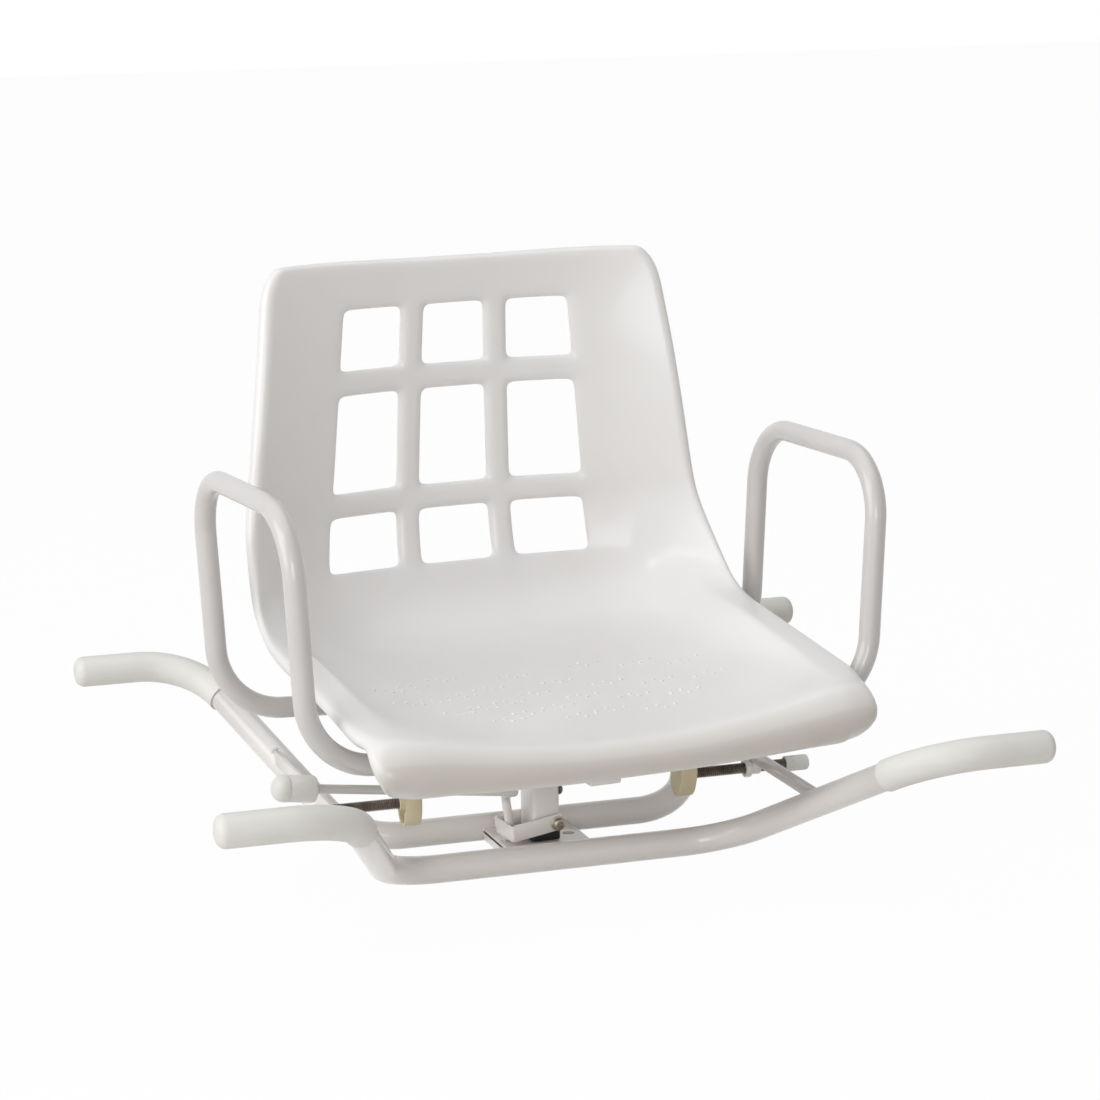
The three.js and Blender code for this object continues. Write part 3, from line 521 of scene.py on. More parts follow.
@dataclass
class Workshop:
    """Turns bmeshes into finished pieces."""

    palette: Palette

    def piece(
        self,
        name: str,
        mesh: bmesh.types.BMesh,
        slot: Slot,
        body: Body,
        place: Matrix,
        nodes: tuple = (),
        smooth_levels: int = 0,
        flip_check: bool = True,
    ) -> bpy.types.Object:
        """Finishes one piece.

        Args:
            name: the piece's name.
            mesh: its shape, in millimetres; it is freed.
            slot: its finish.
            body: the body it rides on.
            place: where it goes.
            nodes: the solids it stands for.
            smooth_levels: levels of subdivision surface, nought for none.
            flip_check: whether the faces are turned outwards again.

        Returns:
            The finished object.
        """
        bmesh.ops.remove_doubles(mesh, verts=mesh.verts, dist=MERGE)
        if flip_check:
            bmesh.ops.recalc_face_normals(mesh, faces=mesh.faces)
        bmesh.ops.transform(mesh, matrix=place, verts=mesh.verts)
        for edge in mesh.edges:
            edge.smooth = smooth_levels > 0 or edge.calc_face_angle(math.pi) < SHARP
        for face in mesh.faces:
            face.smooth = True
        data = mesh_data(name, mesh)
        made = scene_object(name, data)
        data.materials.append(self.palette.by_slot[slot])
        if smooth_levels:
            rounding = made.modifiers.new("rounding", "SUBSURF")
            rounding.levels = smooth_levels
            rounding.render_levels = smooth_levels
        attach(made, body.value)
        if nodes:
            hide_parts(*nodes)
        LOG.info("%s: %d vertices, rides on %s", name, len(data.vertices), body.value)
        return made


def turned_from_z(heading: Vector) -> Matrix:
    """The turn that lays the Z axis along a heading."""
    return ALONG["Z"].rotation_difference(heading).to_matrix().to_4x4()


def extruded(mesh: bmesh.types.BMesh, loop: list) -> tuple:
    """Extrudes a row of edges, and leaves the copy where it is.

    Args:
        mesh: the mesh being built.
        loop: the edges.

    Returns:
        The copy's vertices and the copy's edges.
    """
    made = bmesh.ops.extrude_edge_only(mesh, edges=loop)["geom"]
    verts = [item for item in made if isinstance(item, bmesh.types.BMVert)]
    ends = set(verts)
    edges = [item for item in made if isinstance(item, bmesh.types.BMEdge) and ends.issuperset(item.verts)]
    return verts, edges


def last_edges(made: dict) -> list:
    """The edges that a spin ends with."""
    return [item for item in made["geom_last"] if isinstance(item, bmesh.types.BMEdge)]


@dataclass
class Run:
    """A bent rod or tube: straight lengths joined by round bends."""

    corners: list
    radii: list
    radius: float
    sides: int = 32
    step_degrees: float = 6.0

    def build(self) -> bmesh.types.BMesh:
        """Sweeps a circle along the run.

        Returns:
            The open-ended skin.
        """
        mesh = bmesh.new()
        points = [Vector(corner) for corner in self.corners]
        heading = (points[1] - points[0]).normalized()
        where = Matrix.Translation(points[0]) @ turned_from_z(heading)
        start = bmesh.ops.create_circle(
            mesh, cap_ends=False, radius=self.radius, segments=self.sides, matrix=where
        )
        ring = list({edge for vert in start["verts"] for edge in vert.link_edges})
        place = points[0]
        for index in range(1, len(points) - 1):
            corner = points[index]
            ahead = (points[index + 1] - corner).normalized()
            angle = heading.angle(ahead)
            reach = self.radii[index - 1] * math.tan(angle / 2)
            ring = self._straight(mesh, ring, corner - heading * reach - place)
            place = corner - heading * reach
            ring = self._bend(mesh, ring, place, heading, ahead, angle, self.radii[index - 1])
            place = corner + ahead * reach
            heading = ahead
        self._straight(mesh, ring, points[-1] - place)
        return mesh

    def _straight(self, mesh: bmesh.types.BMesh, ring: list, move: Vector) -> list:
        """Draws the ring out along a straight length.

        Args:
            mesh: the mesh being built.
            ring: the open end's edges.
            move: how far it goes.

        Returns:
            The new open end's edges.
        """
        verts, edges = extruded(mesh, ring)
        bmesh.ops.translate(mesh, verts=verts, vec=move)
        return edges

    def _bend(
        self,
        mesh: bmesh.types.BMesh,
        ring: list,
        place: Vector,
        heading: Vector,
        ahead: Vector,
        angle: float,
        radius: float,
    ) -> list:
        """Spins the ring round one bend.

        Args:
            mesh: the mesh being built.
            ring: the open end's edges.
            place: the centre of the open end.
            heading: the way in.
            ahead: the way out.
            angle: how far it turns.
            radius: the bend's radius at the centreline.

        Returns:
            The new open end's edges.
        """
        axis = heading.cross(ahead).normalized()
        inward = axis.cross(heading).normalized()
        steps = max(2, round(math.degrees(angle) / self.step_degrees))
        centre = place + inward * radius
        made = bmesh.ops.spin(
            mesh, geom=ring, cent=centre, axis=axis, angle=angle, steps=steps, use_duplicate=False
        )
        return last_edges(made)


def open_loops(mesh: bmesh.types.BMesh) -> list:
    """The edges of each open end.

    Args:
        mesh: a mesh with open ends.

    Returns:
        A list of edge lists, one for each loop.
    """
    left = {edge for edge in mesh.edges if edge.is_boundary}
    loops = []
    while left:
        loop, queue = [], [left.pop()]
        while queue:
            edge = queue.pop()
            loop.append(edge)
            for vert in edge.verts:
                for other in vert.link_edges:
                    if other in left:
                        left.remove(other)
                        queue.append(other)
        loops.append(loop)
    return loops


def loop_centre(loop: list) -> Vector:
    """The middle of a loop of edges."""
    points = {vert for edge in loop for vert in edge.verts}
    return sum((vert.co for vert in points), Vector()) / len(points)


def draw_in(mesh: bmesh.types.BMesh, loop: list, steps: list, outward: Vector) -> list:
    """Extrudes an open end through a row of scaled and shifted copies of itself.

    Args:
        mesh: the mesh being built.
        loop: the open end's edges.
        steps: pairs of a share of the end's radius and a distance along outward, from the end as it was.
        outward: the direction that distances are measured in.

    Returns:
        The last copy's edges.
    """
    centre = loop_centre(loop)
    share_before, reach_before = 1.0, 0.0
    for share, reach in steps:
        verts, loop = extruded(mesh, loop)
        middle = centre + outward * reach_before
        for vert in verts:
            vert.co = centre + outward * reach + (vert.co - middle) * (share / share_before)
        share_before, reach_before = share, reach
    return loop


def close_end(mesh: bmesh.types.BMesh, loop: list) -> None:
    """Fills a small loop with one fan."""
    bmesh.ops.contextual_create(mesh, geom=loop)


def dome_steps(radius: float, rounding: float, count: int) -> list:
    """Steps that round an end over and carry it almost to its middle.

    Args:
        radius: the end's radius.
        rounding: the radius of the rounded edge.
        count: how many steps the rounding takes.

    Returns:
        Pairs for draw_in.
    """
    steps = []
    for k in range(1, count + 1):
        angle = math.pi / 2 * k / count
        reach = radius - rounding + rounding * math.cos(angle)
        steps.append((reach / radius, rounding * math.sin(angle)))
    # Where a flat middle is left, one more ring half way in lets it swell a little.
    if rounding < radius * 0.9:
        steps.append((0.5 * (radius - rounding) / radius, rounding * 1.02))
    return steps


def hollow_steps(radius: float, wall: float, depth: float) -> list:
    """Steps that turn an open tube end in over its wall and down its bore.

    Args:
        radius: the tube's outer radius.
        wall: its wall.
        depth: how deep the bore is drawn.

    Returns:
        Pairs for draw_in.
    """
    inner = (radius - wall) / radius
    lip = 0.3
    return [
        ((radius - lip * 0.3) / radius, lip * 0.8),
        ((radius - lip) / radius, lip),
        ((radius - wall + lip) / radius, lip),
        (inner, 0.0),
        (inner, -depth),
    ]


def hollow_ends(mesh: bmesh.types.BMesh, steps: list, toward: int) -> None:
    """Turns a tube's open ends in and closes its bore.

    Args:
        mesh: the tube, whose ends face along X.
        steps: what hollow_steps gives.
        toward: one where the ends face away from the middle plane, minus one where they face it.
    """
    for loop in open_loops(mesh):
        outward = Vector((toward * math.copysign(1, loop_centre(loop).x), 0, 0))
        draw_in(mesh, loop, steps, outward)
    for loop in open_loops(mesh):
        close_end(mesh, loop)


def turned(profile: list, axis_point: Vector, axis: Vector, sides: int) -> bmesh.types.BMesh:
    """A turned piece.

    Args:
        profile: pairs of radius and distance along the axis, on the axis or closed.
        axis_point: where distance nought is.
        axis: the way the distance runs.
        sides: how many steps the full turn takes.

    Returns:
        The closed mesh.
    """
    mesh = bmesh.new()
    verts = [mesh.verts.new((radius, 0, along)) for radius, along in profile]
    edges = [mesh.edges.new(pair) for pair in zip(verts, verts[1:])]
    if profile[0][0] > 0:
        edges.append(mesh.edges.new((verts[-1], verts[0])))
    bmesh.ops.spin(
        mesh,
        geom=verts + edges,
        cent=(0, 0, 0),
        axis=(0, 0, 1),
        angle=2 * math.pi,
        steps=sides,
        use_merge=True,
        use_duplicate=False,
    )
    bmesh.ops.remove_doubles(mesh, verts=mesh.verts, dist=MERGE / 2)
    where = Matrix.Translation(axis_point) @ turned_from_z(axis)
    bmesh.ops.transform(mesh, matrix=where, verts=mesh.verts)
    return mesh


def bead(mesh: bmesh.types.BMesh, place: Matrix, size: tuple, subdivisions: int = 1) -> None:
    """Adds one small ellipsoid.

    Args:
        mesh: the mesh being built.
        place: where it goes and how it is turned.
        size: half its length along each of its axes.
        subdivisions: how finely it is faceted.
    """
    shape = place @ Matrix.Diagonal((*size, 1))
    bmesh.ops.create_icosphere(mesh, subdivisions=subdivisions, radius=1.0, matrix=shape)


def rounded_block(
    low: tuple, high: tuple, rounding: float, segments: int, axis: str = ""
) -> bmesh.types.BMesh:
    """A block with rounded edges.

    Args:
        low: its lowest corner.
        high: its highest corner.
        rounding: the radius of its edges.
        segments: how many faces each rounding takes.
        axis: X, Y or Z where only the edges along that axis are rounded.

    Returns:
        The closed mesh.
    """
    mesh = bmesh.new()
    low, high = Vector(low), Vector(high)
    size = high - low
    scale = Matrix.Diagonal((size.x, size.y, size.z, 1))
    bmesh.ops.create_cube(mesh, size=1, matrix=Matrix.Translation((low + high) / 2) @ scale)
    edges = list(mesh.edges)
    if axis:
        lengths = [(edge, edge.verts[0].co - edge.verts[1].co) for edge in edges]
        edges = [edge for edge, length in lengths if abs(length.normalized().dot(ALONG[axis])) > 0.9]
    bevel(mesh, edges, rounding, segments)
    return mesh


def bevel(mesh: bmesh.types.BMesh, edges: list, rounding: float, segments: int) -> None:
    """Rounds edges over.

    Args:
        mesh: the mesh.
        edges: the edges to round.
        rounding: how far the rounding reaches.
        segments: how many faces it takes.
    """
    bmesh.ops.bevel(
        mesh,
        geom=edges,
        offset=rounding,
        offset_type="OFFSET",
        segments=segments,
        profile=0.5,
        affect="EDGES",
        material=-1,
        clamp_overlap=True,
    )


def sharp_edges(mesh: bmesh.types.BMesh, least: float = 50.0) -> list:
    """The edges where faces meet at more than an angle in degrees."""
    return [e for e in mesh.edges if e.is_manifold and e.calc_face_angle(0) > math.radians(least)]


def join_meshes(parts: list) -> bmesh.types.BMesh:
    """Puts several meshes into one.

    Args:
        parts: the meshes; all but the first are freed.

    Returns:
        The first mesh, holding them all.
    """
    whole = parts[0]
    for part in parts[1:]:
        scratch = mesh_data("scratch", part)
        whole.from_mesh(scratch)
        bpy.data.meshes.remove(scratch)
    return whole


@dataclass
class TubeFrame:
    """The two bent tubes that cross the bath, with their grips, side bars and welds."""

    workshop: Workshop
    half_width: float = 363.0
    grip_y: float = 290.0
    grip_z: float = 122.0
    grip_bend_x: float = 252.0
    floor_bend_x: float = 158.7
    floor_y: float = 57.0
    grip_bend_radius: float = 75.0
    floor_bend_radius: float = 65.0
    tube_radius: float = 12.5
    grip_radius: float = 14.25
    grip_past_bend: float = 57.5
    bar_x: float = 205.0
    bar_z: float = 58.5
    bar_height: float = 13.0
    bar_thickness: float = 4.0
    bar_reach: float = 157.1
    bar_edge: float = 1.1
    tube_wall: float = 1.5
    tube_bore: float = 20.0
    grip_over_tube: float = 6.0
    grip_rounding: float = 8.5
    weld_back: float = 1.5
    bead_count: int = 26
    bead_size: tuple = (1.5, 1.9, 1.5)
    bead_out: tuple = (0.9, 0.5)
    bead_square: float = 0.6
    bead_wobble: float = 0.25

    def corners(self, end: int, tip: float) -> list:
        """The corners of one tube's run.

        Args:
            end: minus one for the front tube and one for the rear.
            tip: how far out the tube goes.

        Returns:
            The corner points.
        """
        half = [
            (-tip, end * self.grip_y, self.grip_z),
            (-self.grip_bend_x, end * self.grip_y, self.grip_z),
            (-self.floor_bend_x, end * self.floor_y, 0.0),
        ]
        return half + [(-x, y, z) for x, y, z in reversed(half)]

    def build(self) -> None:
        """Makes every piece of the frame."""
        radii = [self.grip_bend_radius, self.floor_bend_radius]
        radii += radii[::-1]
        steps = hollow_steps(self.tube_radius, self.tube_wall, self.tube_bore)
        for end, word in ((-1, "front"), (1, "rear")):
            corners = self.corners(end, self.half_width - self.grip_over_tube)
            mesh = Run(corners, radii, self.tube_radius, 48, 4.0).build()
            hollow_ends(mesh, steps, 1)
            name = f"{word}_tube"
            self.workshop.piece(name, mesh, Slot.COAT, Body.FRAME, frame_place(), (f"{word}_frame_tube",))
            for side in Side:
                self.grip(end, word, side)
        for side in Side:
            self.side_bar(side)

    def grip(self, end: int, word: str, side: Side) -> None:
        """Makes one hand grip: a sleeve with a rounded tip and a rolled inner lip.

        Args:
            end: minus one at the front and one at the rear.
            word: the end's name.
            side: left or right.
        """
        tip, bend, foot = (Vector(corner) for corner in self.corners(end, self.half_width)[:3])
        down = (foot - bend).normalized()
        start = Vector((tip.x + self.grip_rounding, tip.y, tip.z))
        corners = [start, bend, bend + down * self.grip_past_bend]
        mesh = Run(corners, [self.grip_bend_radius], self.grip_radius, 48, 4.0).build()
        loops = sorted(open_loops(mesh), key=lambda loop: loop_centre(loop).x)
        dome = dome_steps(self.grip_radius, self.grip_rounding, 8)
        edge = draw_in(mesh, loops[0], dome, -ALONG["X"])
        close_end(mesh, edge)
        bore = (self.tube_radius + 0.2) / self.grip_radius
        lip = [(0.992, 0.35), (0.965, 0.6), (bore + 0.02, 0.6), (bore, 0.3), (bore, -12.0)]
        edge = draw_in(mesh, loops[1], lip, down)
        close_end(mesh, edge)
        if side is Side.RIGHT:
            everything = [*mesh.verts, *mesh.edges, *mesh.faces]
            bmesh.ops.mirror(mesh, geom=everything, axis="X", merge_dist=0)
            bmesh.ops.delete(mesh, geom=[v for v in mesh.verts if v.co.x < 0], context="VERTS")
        node = f"{word}_{side.word}_grip"
        self.workshop.piece(f"{node}_sleeve", mesh, Slot.GRIP, Body.FRAME, frame_place(), (node,))

    def side_bar(self, side: Side) -> None:
        """Makes one flat bar between the tubes, with its weld beads.

        Args:
            side: left or right.
        """
        x = side.value * self.bar_x
        half = self.bar_thickness / 2
        low = (x - half, -self.bar_reach, self.bar_z - self.bar_height / 2)
        high = (x + half, self.bar_reach, self.bar_z + self.bar_height / 2)
        mesh = rounded_block(low, high, self.bar_edge, 3)
        parts = [mesh]
        for end in (-1, 1):
            parts.append(self.weld(Vector((x, end * (self.bar_reach - self.weld_back), self.bar_z)), end))
        name, node = f"{side.word}_cross_bar", f"{side.word}_side_bar"
        self.workshop.piece(name, join_meshes(parts), Slot.COAT, Body.FRAME, frame_place(), (node,))

    def weld(self, place: Vector, end: int) -> bmesh.types.BMesh:
        """A painted weld bead round the end of a bar.

        Args:
            place: the middle of the bar's end.
            end: which way the bar's end points.

        Returns:
            The bead.
        """
        mesh = bmesh.new()
        half_x, half_z = self.bar_thickness / 2, self.bar_height / 2
        out_x, out_z = self.bead_out
        for k in range(self.bead_count):
            angle = 2 * math.pi * k / self.bead_count
            across, up = math.cos(angle), math.sin(angle)
            x = (half_x + out_x) * math.copysign(abs(across) ** self.bead_square, across)
            z = (half_z + out_z) * math.copysign(abs(up) ** self.bead_square, up)
            wobble = self.bead_wobble * math.sin(5.0 * k)
            bead(mesh, Matrix.Translation(place + Vector((x, end * wobble, z))), self.bead_size)
        return mesh


def progress(value: float, start: float, full: float) -> float:
    """How far a value has come from start to full, held between nought and one."""
    return min(max((value - start) / (full - start), 0.0), 1.0)


@dataclass
class SeatStation:
    """One row of the seat's skin: where its middle and its rim are, and how it turns up between them.

    Args:
        mid_y: how far back the row's middle lies.
        mid_z: how high its middle lies.
        rim_y: how far back its ends lie.
        rim_z: how high its ends lie.
        half: half its width.
        thick: how thick the seat is at its ends.
        crease: how much of the way up it has come at the foot of the side wall.
        back: nought on the pan, one on the back.
    """

    mid_y: float
    mid_z: float
    rim_y: float
    rim_z: float
    half: float
    thick: float
    crease: float
    back: float


# What the seat's "side" layer holds: nought on the sitter's side, and these elsewhere.
FAR_SIDE = 2
IN_WALL = (11, 12, 13)


@dataclass
class BucketSeat:
    """The blow-moulded seat: pan, windowed back, rolled rim and anti-slip pips."""

    workshop: Workshop
    # The windows: their grid rows, counted from the first, their grid columns, the field that they
    # fill, and how their walls are rounded.
    first_row: int = 13
    window_rows: tuple = ((0, 3), (5, 9), (11, 14))
    window_columns: tuple = ((-2, 2), (4, 7), (-7, -4))
    window_top: float = 466.0
    window_foot: float = 224.0
    window_top_half: float = 111.0
    window_foot_half: float = 131.0
    rib: float = 23.5
    corner_step: float = 11.0
    flare: float = 6.0
    pinch: float = 3.0
    window_out: tuple = (0.55, 0.68, 0.45)
    window_wall: float = 10.0
    # How the skin turns up from its middle to its rim, on the pan and on the back.
    wall_foot: float = 0.79
    wall_top: float = 0.872
    pan_shares: tuple = (0.30, 0.54, 0.66, 0.74, 0.81, 1.0)
    back_shares: tuple = (0.25, 0.50, 0.72, 0.88, 0.965, 1.0)
    bowl_power: float = 2.0
    bowl_more: float = 1.2
    bowl_zone: tuple = (-178.0, -130.0)
    back_power: float = 2.6
    back_more: float = 1.9
    back_zone: tuple = (300.0, 220.0)
    # The double wall, and over what reach it goes over to the rim's thickness.
    wall: float = 13.0
    edge_flat: float = 8.0
    edge_reach: float = 38.0
    normal_narrow: float = 0.45
    # The rolled rim, in shares of its thickness; the front edge's is fuller below.
    rim_share: float = 0.42
    rim_low: float = 0.85
    rim_high: float = 0.4
    rim_spread: float = 0.1
    proud: float = 0.07
    front_line: float = -180.0
    front_high: float = 0.78
    front_column: int = 12
    mitre_most: float = 1.42
    mitre_rim: float = 1.25
    # The front edge: its bow, how far each row is drawn in, and each row's foot as a height, a step
    # back and a lift at the corners.
    bow: float = 4.0
    bow_rows: int = 4
    bow_reach: float = 190.0
    front_draws: tuple = (4.0, 0.5, 0.0)
    front_feet: tuple = ((105.0, 9.0, 3.0), (107.0, 5.0, 20.0), (119.0, 2.0, 25.0))
    aside_lift: float = 3.0
    aside_zone: tuple = (90.0, 160.0)
    corner_zone: tuple = (185.0, 227.0)
    # The top edge: how far each row is drawn in, and how it lifts towards the sides.
    top_draws: tuple = (0.5, 3.5, 10.0)
    top_lift: float = 1.6
    top_zone: tuple = (468.0, 500.0)
    crown: float = 2.3
    crown_zone: tuple = (40.0, 140.0)
    # The bosses, as places along Y with the height of their tops, and the tab's two corners.
    bosses: tuple = ((-125.5, 136.0), (98.8, 142.0))
    boss_x: float = 110.0
    boss_foot: float = 111.8
    boss_radius: float = 11.0
    boss_flare: float = 1.5
    boss_edge: float = 0.8
    front_tab: tuple = ((-42.0, -200.0, 102.0), (-13.0, -187.0, 112.0))
    tab_edge: float = 2.0
    # The pips: the height that they are set down from, each one's lenses, and where each one is.
    pip_drop: float = 230.0
    pip_size: tuple = (2.1, 2.1, 1.15)
    pip_cluster: tuple = ((-13.5, 0.0), (-1.5, 4.5), (2.5, -4.5), (14.0, 1.0))
    pips: tuple = (
        (-10.8, 34.5), (64.1, 44.2), (106.7, 21.8), (140.8, -6.1), (-74.9, 46.5), (-48.1, 1.6),
        (17.9, -1.0), (55.7, -26.8), (94.7, -48.5), (140.1, -60.4), (-111.1, 25.2), (-82.3, -17.8),
        (-19.6, -34.4), (14.9, -61.7), (55.4, -81.7), (98.5, -96.2), (-140.3, 8.0), (-112.2, -34.0),
        (-53.1, -55.8), (-19.8, -86.8), (17.2, -114.0), (60.9, -125.7), (-142.5, -46.2),
        (-82.8, -69.6), (-52.6, -96.5), (-12.5, -120.7), (-110.9, -82.6), (-78.5, -113.7),
    )

    def stations(self) -> list:
        """The rows of the skin, from the front edge to the top of the back.

        The pan's rows are written out. The back's rows are read, height by height, from tables of how
        far back the middle and the rim lie, how wide a half of the row is and how thick its ends are.

        Returns:
            The rows.
        """
        pan = [
            (-202.0, 129.5, -202.0, 150.0, 240.0, 27.0, 0.9, 0.0),
            (-193.0, 136.5, -193.0, 159.5, 240.0, 29.0, 0.9, 0.0),
            (-178.0, 138.5, -178.0, 162.5, 240.0, 25.0, 0.88, 0.0),
            (-158.0, 140.0, -160.0, 164.5, 239.5, 19.0, 0.82, 0.0),
            (-130.0, 143.0, -135.0, 168.0, 239.0, 16.0, 0.72, 0.0),
            (-95.0, 144.5, -105.0, 172.5, 238.0, 15.5, 0.58, 0.0),
            (-55.0, 144.5, -70.0, 178.0, 237.5, 15.5, 0.46, 0.0),
            (-10.0, 144.0, -35.0, 183.0, 237.0, 16.0, 0.42, 0.0),
            (40.0, 143.5, -5.0, 187.5, 237.0, 16.0, 0.42, 0.0),
            (85.0, 146.5, 20.0, 191.0, 236.5, 16.5, 0.42, 0.05),
            (118.0, 154.5, 42.0, 195.5, 236.0, 15.0, 0.42, 0.2),
            (143.0, 171.0, 55.0, 200.0, 235.0, 12.0, 0.42, 0.4),
            (163.0, 194.0, 68.0, 208.0, 233.5, 11.0, 0.42, 0.7),
        ]
        back = [
            218.0, 234.0, 264.0, 280.0, 286.0, 291.5, 308.0, 342.0, 377.0, 393.5, 399.0, 405.0, 421.0,
            456.0, 472.0, 484.0, 494.0, 500.0,
        ]
        middle = [
            (218, 175), (240, 181.5), (260, 184), (300, 185), (350, 183), (400, 180.5), (440, 178),
            (466, 176), (505, 172),
        ]
        rim = [
            (218, 77), (240, 96), (260, 110), (280, 118.7), (300, 121.8), (340, 123), (360, 124.3),
            (380, 126), (400, 128), (420, 130), (440, 133), (460, 136), (480, 140.5), (505, 145),
        ]
        widths = [
            (218, 232.4), (240, 228.6), (260, 225.4), (280, 222.6), (300, 220), (340, 215), (380, 210),
            (400, 207.4), (420, 205), (440, 202), (460, 199.5), (480, 197), (505, 193.5),
        ]
        edge = [(218, 11.0), (250, 13.0), (290, 18.0), (310, 20.0), (505, 20.0)]
        rows = [SeatStation(*row) for row in pan]
        for z in back:
            y, rim_y, half, thick = (self.read(table, z) for table in (middle, rim, widths, edge))
            rows.append(SeatStation(y, z, rim_y, z, half, thick, 0.42, 1.0))
        return rows

    @staticmethod
    def read(table: list, at: float) -> float:
        """Reads a table of pairs, in a straight line between them.

        Args:
            table: pairs of a place and a value, in rising order of place.
            at: the place to read.

        Returns:
            The value there, or the last one past the table's end.
        """
        for (a, low), (b, high) in zip(table, table[1:]):
            if at <= b:
                return low + (high - low) * (at - a) / (b - a)
        return table[-1][1]

    def window_half(self, z: float) -> float:
        """Half the width of the windowed field.

        Args:
            z: a height; the field goes on widening a little below the windows, and no further.

        Returns:
            Half the field's width there.
        """
        share = (self.window_top - z) / (self.window_top - self.window_foot)
        share = min(max(share, -0.25), 1.0)
        return self.window_top_half + (self.window_foot_half - self.window_top_half) * share

    def columns(self, station: SeatStation, half: float) -> list:
        """The places across one row, from the middle outwards.

        Args:
            station: the row.
            half: half the row's width, inside its rolled edge.

        Returns:
            Distances from the middle.
        """
        field_half = self.window_half(station.mid_z)
        wide = (2 * field_half - 2 * self.rib) / 3
        inner = wide / 2
        outer = inner + self.rib
        inside = [
            0.0, inner - self.corner_step, inner + self.flare, inner + self.rib / 2, outer - self.flare,
            outer + self.corner_step, field_half - self.corner_step, field_half + self.flare,
        ]
        rest = half - inside[-1]
        shares = zip(self.pan_shares, self.back_shares)
        mixed = [pan + (back - pan) * station.back for pan, back in shares]
        return inside + [inside[-1] + rest * share for share in mixed]

    def rise(self, station: SeatStation, x: float) -> float:
        """How far a point has come from the middle's line to the rim's.

        Args:
            station: the point's row.
            x: how far it lies from the middle.

        Returns:
            Nought at the middle and one at the rim.
        """
        q = min(abs(x) / station.half, 1.0)
        slope = progress(q, self.wall_foot, self.wall_top)
        bowl = self.bowl_power + self.bowl_more * progress(station.mid_y, *self.bowl_zone)
        floor = station.crease * min(q / self.wall_foot, 1.0) ** bowl
        pan = floor + (1 - floor) * slope * slope * (3 - 2 * slope)
        back = q ** (self.back_power + self.back_more * progress(station.mid_z, *self.back_zone))
        return (1 - station.back) * pan + station.back * back

    def skin_point(self, station: SeatStation, x: float) -> Vector:
        """Finds a point of the sitter's side.

        Args:
            station: the point's row.
            x: how far it lies from the middle.

        Returns:
            The point.
        """
        share = self.rise(station, x)
        y = station.mid_y + (station.rim_y - station.mid_y) * share
        z = station.mid_z + (station.rim_z - station.mid_z) * share
        return Vector((x, y, z))

    def build(self) -> None:
        """Makes the seat and its pips."""
        rows = self.stations()
        mesh = bmesh.new()
        for name in ("row", "column", "side"):
            mesh.verts.layers.int.new(name)
        row_tag = mesh.verts.layers.int.get("row")
        column_tag = mesh.verts.layers.int.get("column")
        plain = len(rows) - len(self.front_draws) - len(self.top_draws)
        draws = self.front_draws + (0.0,) * plain + self.top_draws
        places = []
        for station, draw in zip(rows, draws):
            places.append(self.columns(station, station.half - self.rim_share * station.thick - draw))
        across = 2 * (len(places[0]) - 1)
        bmesh.ops.create_grid(mesh, x_segments=across, y_segments=len(rows) - 1, size=1.0)
        for vert in mesh.verts:
            column = round((vert.co.x + 1) / 2 * across) - across // 2
            row = round((vert.co.y + 1) / 2 * (len(rows) - 1))
            vert[row_tag], vert[column_tag] = row, column
            x = math.copysign(places[row][abs(column)], column)
            vert.co = self.skin_point(rows[row], x)
            if row < self.bow_rows:
                vert.co.y += self.bow * (abs(x) / self.bow_reach) ** 2 * (1 - row / self.bow_rows)
            lift = self.top_lift + self.crown * progress(abs(x), *self.crown_zone)
            vert.co.z += progress(vert.co.z, *self.top_zone) * lift
        self.cut_windows(mesh, row_tag, column_tag)
        self.thicken(mesh, rows, row_tag, column_tag)
        shell = self.workshop.piece(
            "bucket_shell", mesh, Slot.SEAT, Body.SEAT, seat_place(), ("seat_shell",), 2, True
        )
        self.build_pips(shell)
        self.build_bosses()

    @staticmethod
    def within(places: list, spans: tuple) -> bool:
        """Whether all of some places lie within one span."""
        return any(low <= min(places) and max(places) <= high for low, high in spans)

    def cut_windows(self, mesh: bmesh.types.BMesh, row_tag: object, column_tag: object) -> None:
        """Deletes the faces inside the nine windows.

        Args:
            mesh: the sitter's side as a grid.
            row_tag: the layer that holds each vertex's row.
            column_tag: the layer that holds each vertex's column.
        """
        doomed = []
        for face in mesh.faces:
            rows = [vert[row_tag] - self.first_row for vert in face.verts]
            columns = [vert[column_tag] for vert in face.verts]
            if self.within(rows, self.window_rows) and self.within(columns, self.window_columns):
                doomed.append(face)
        bmesh.ops.delete(mesh, geom=doomed, context="FACES")

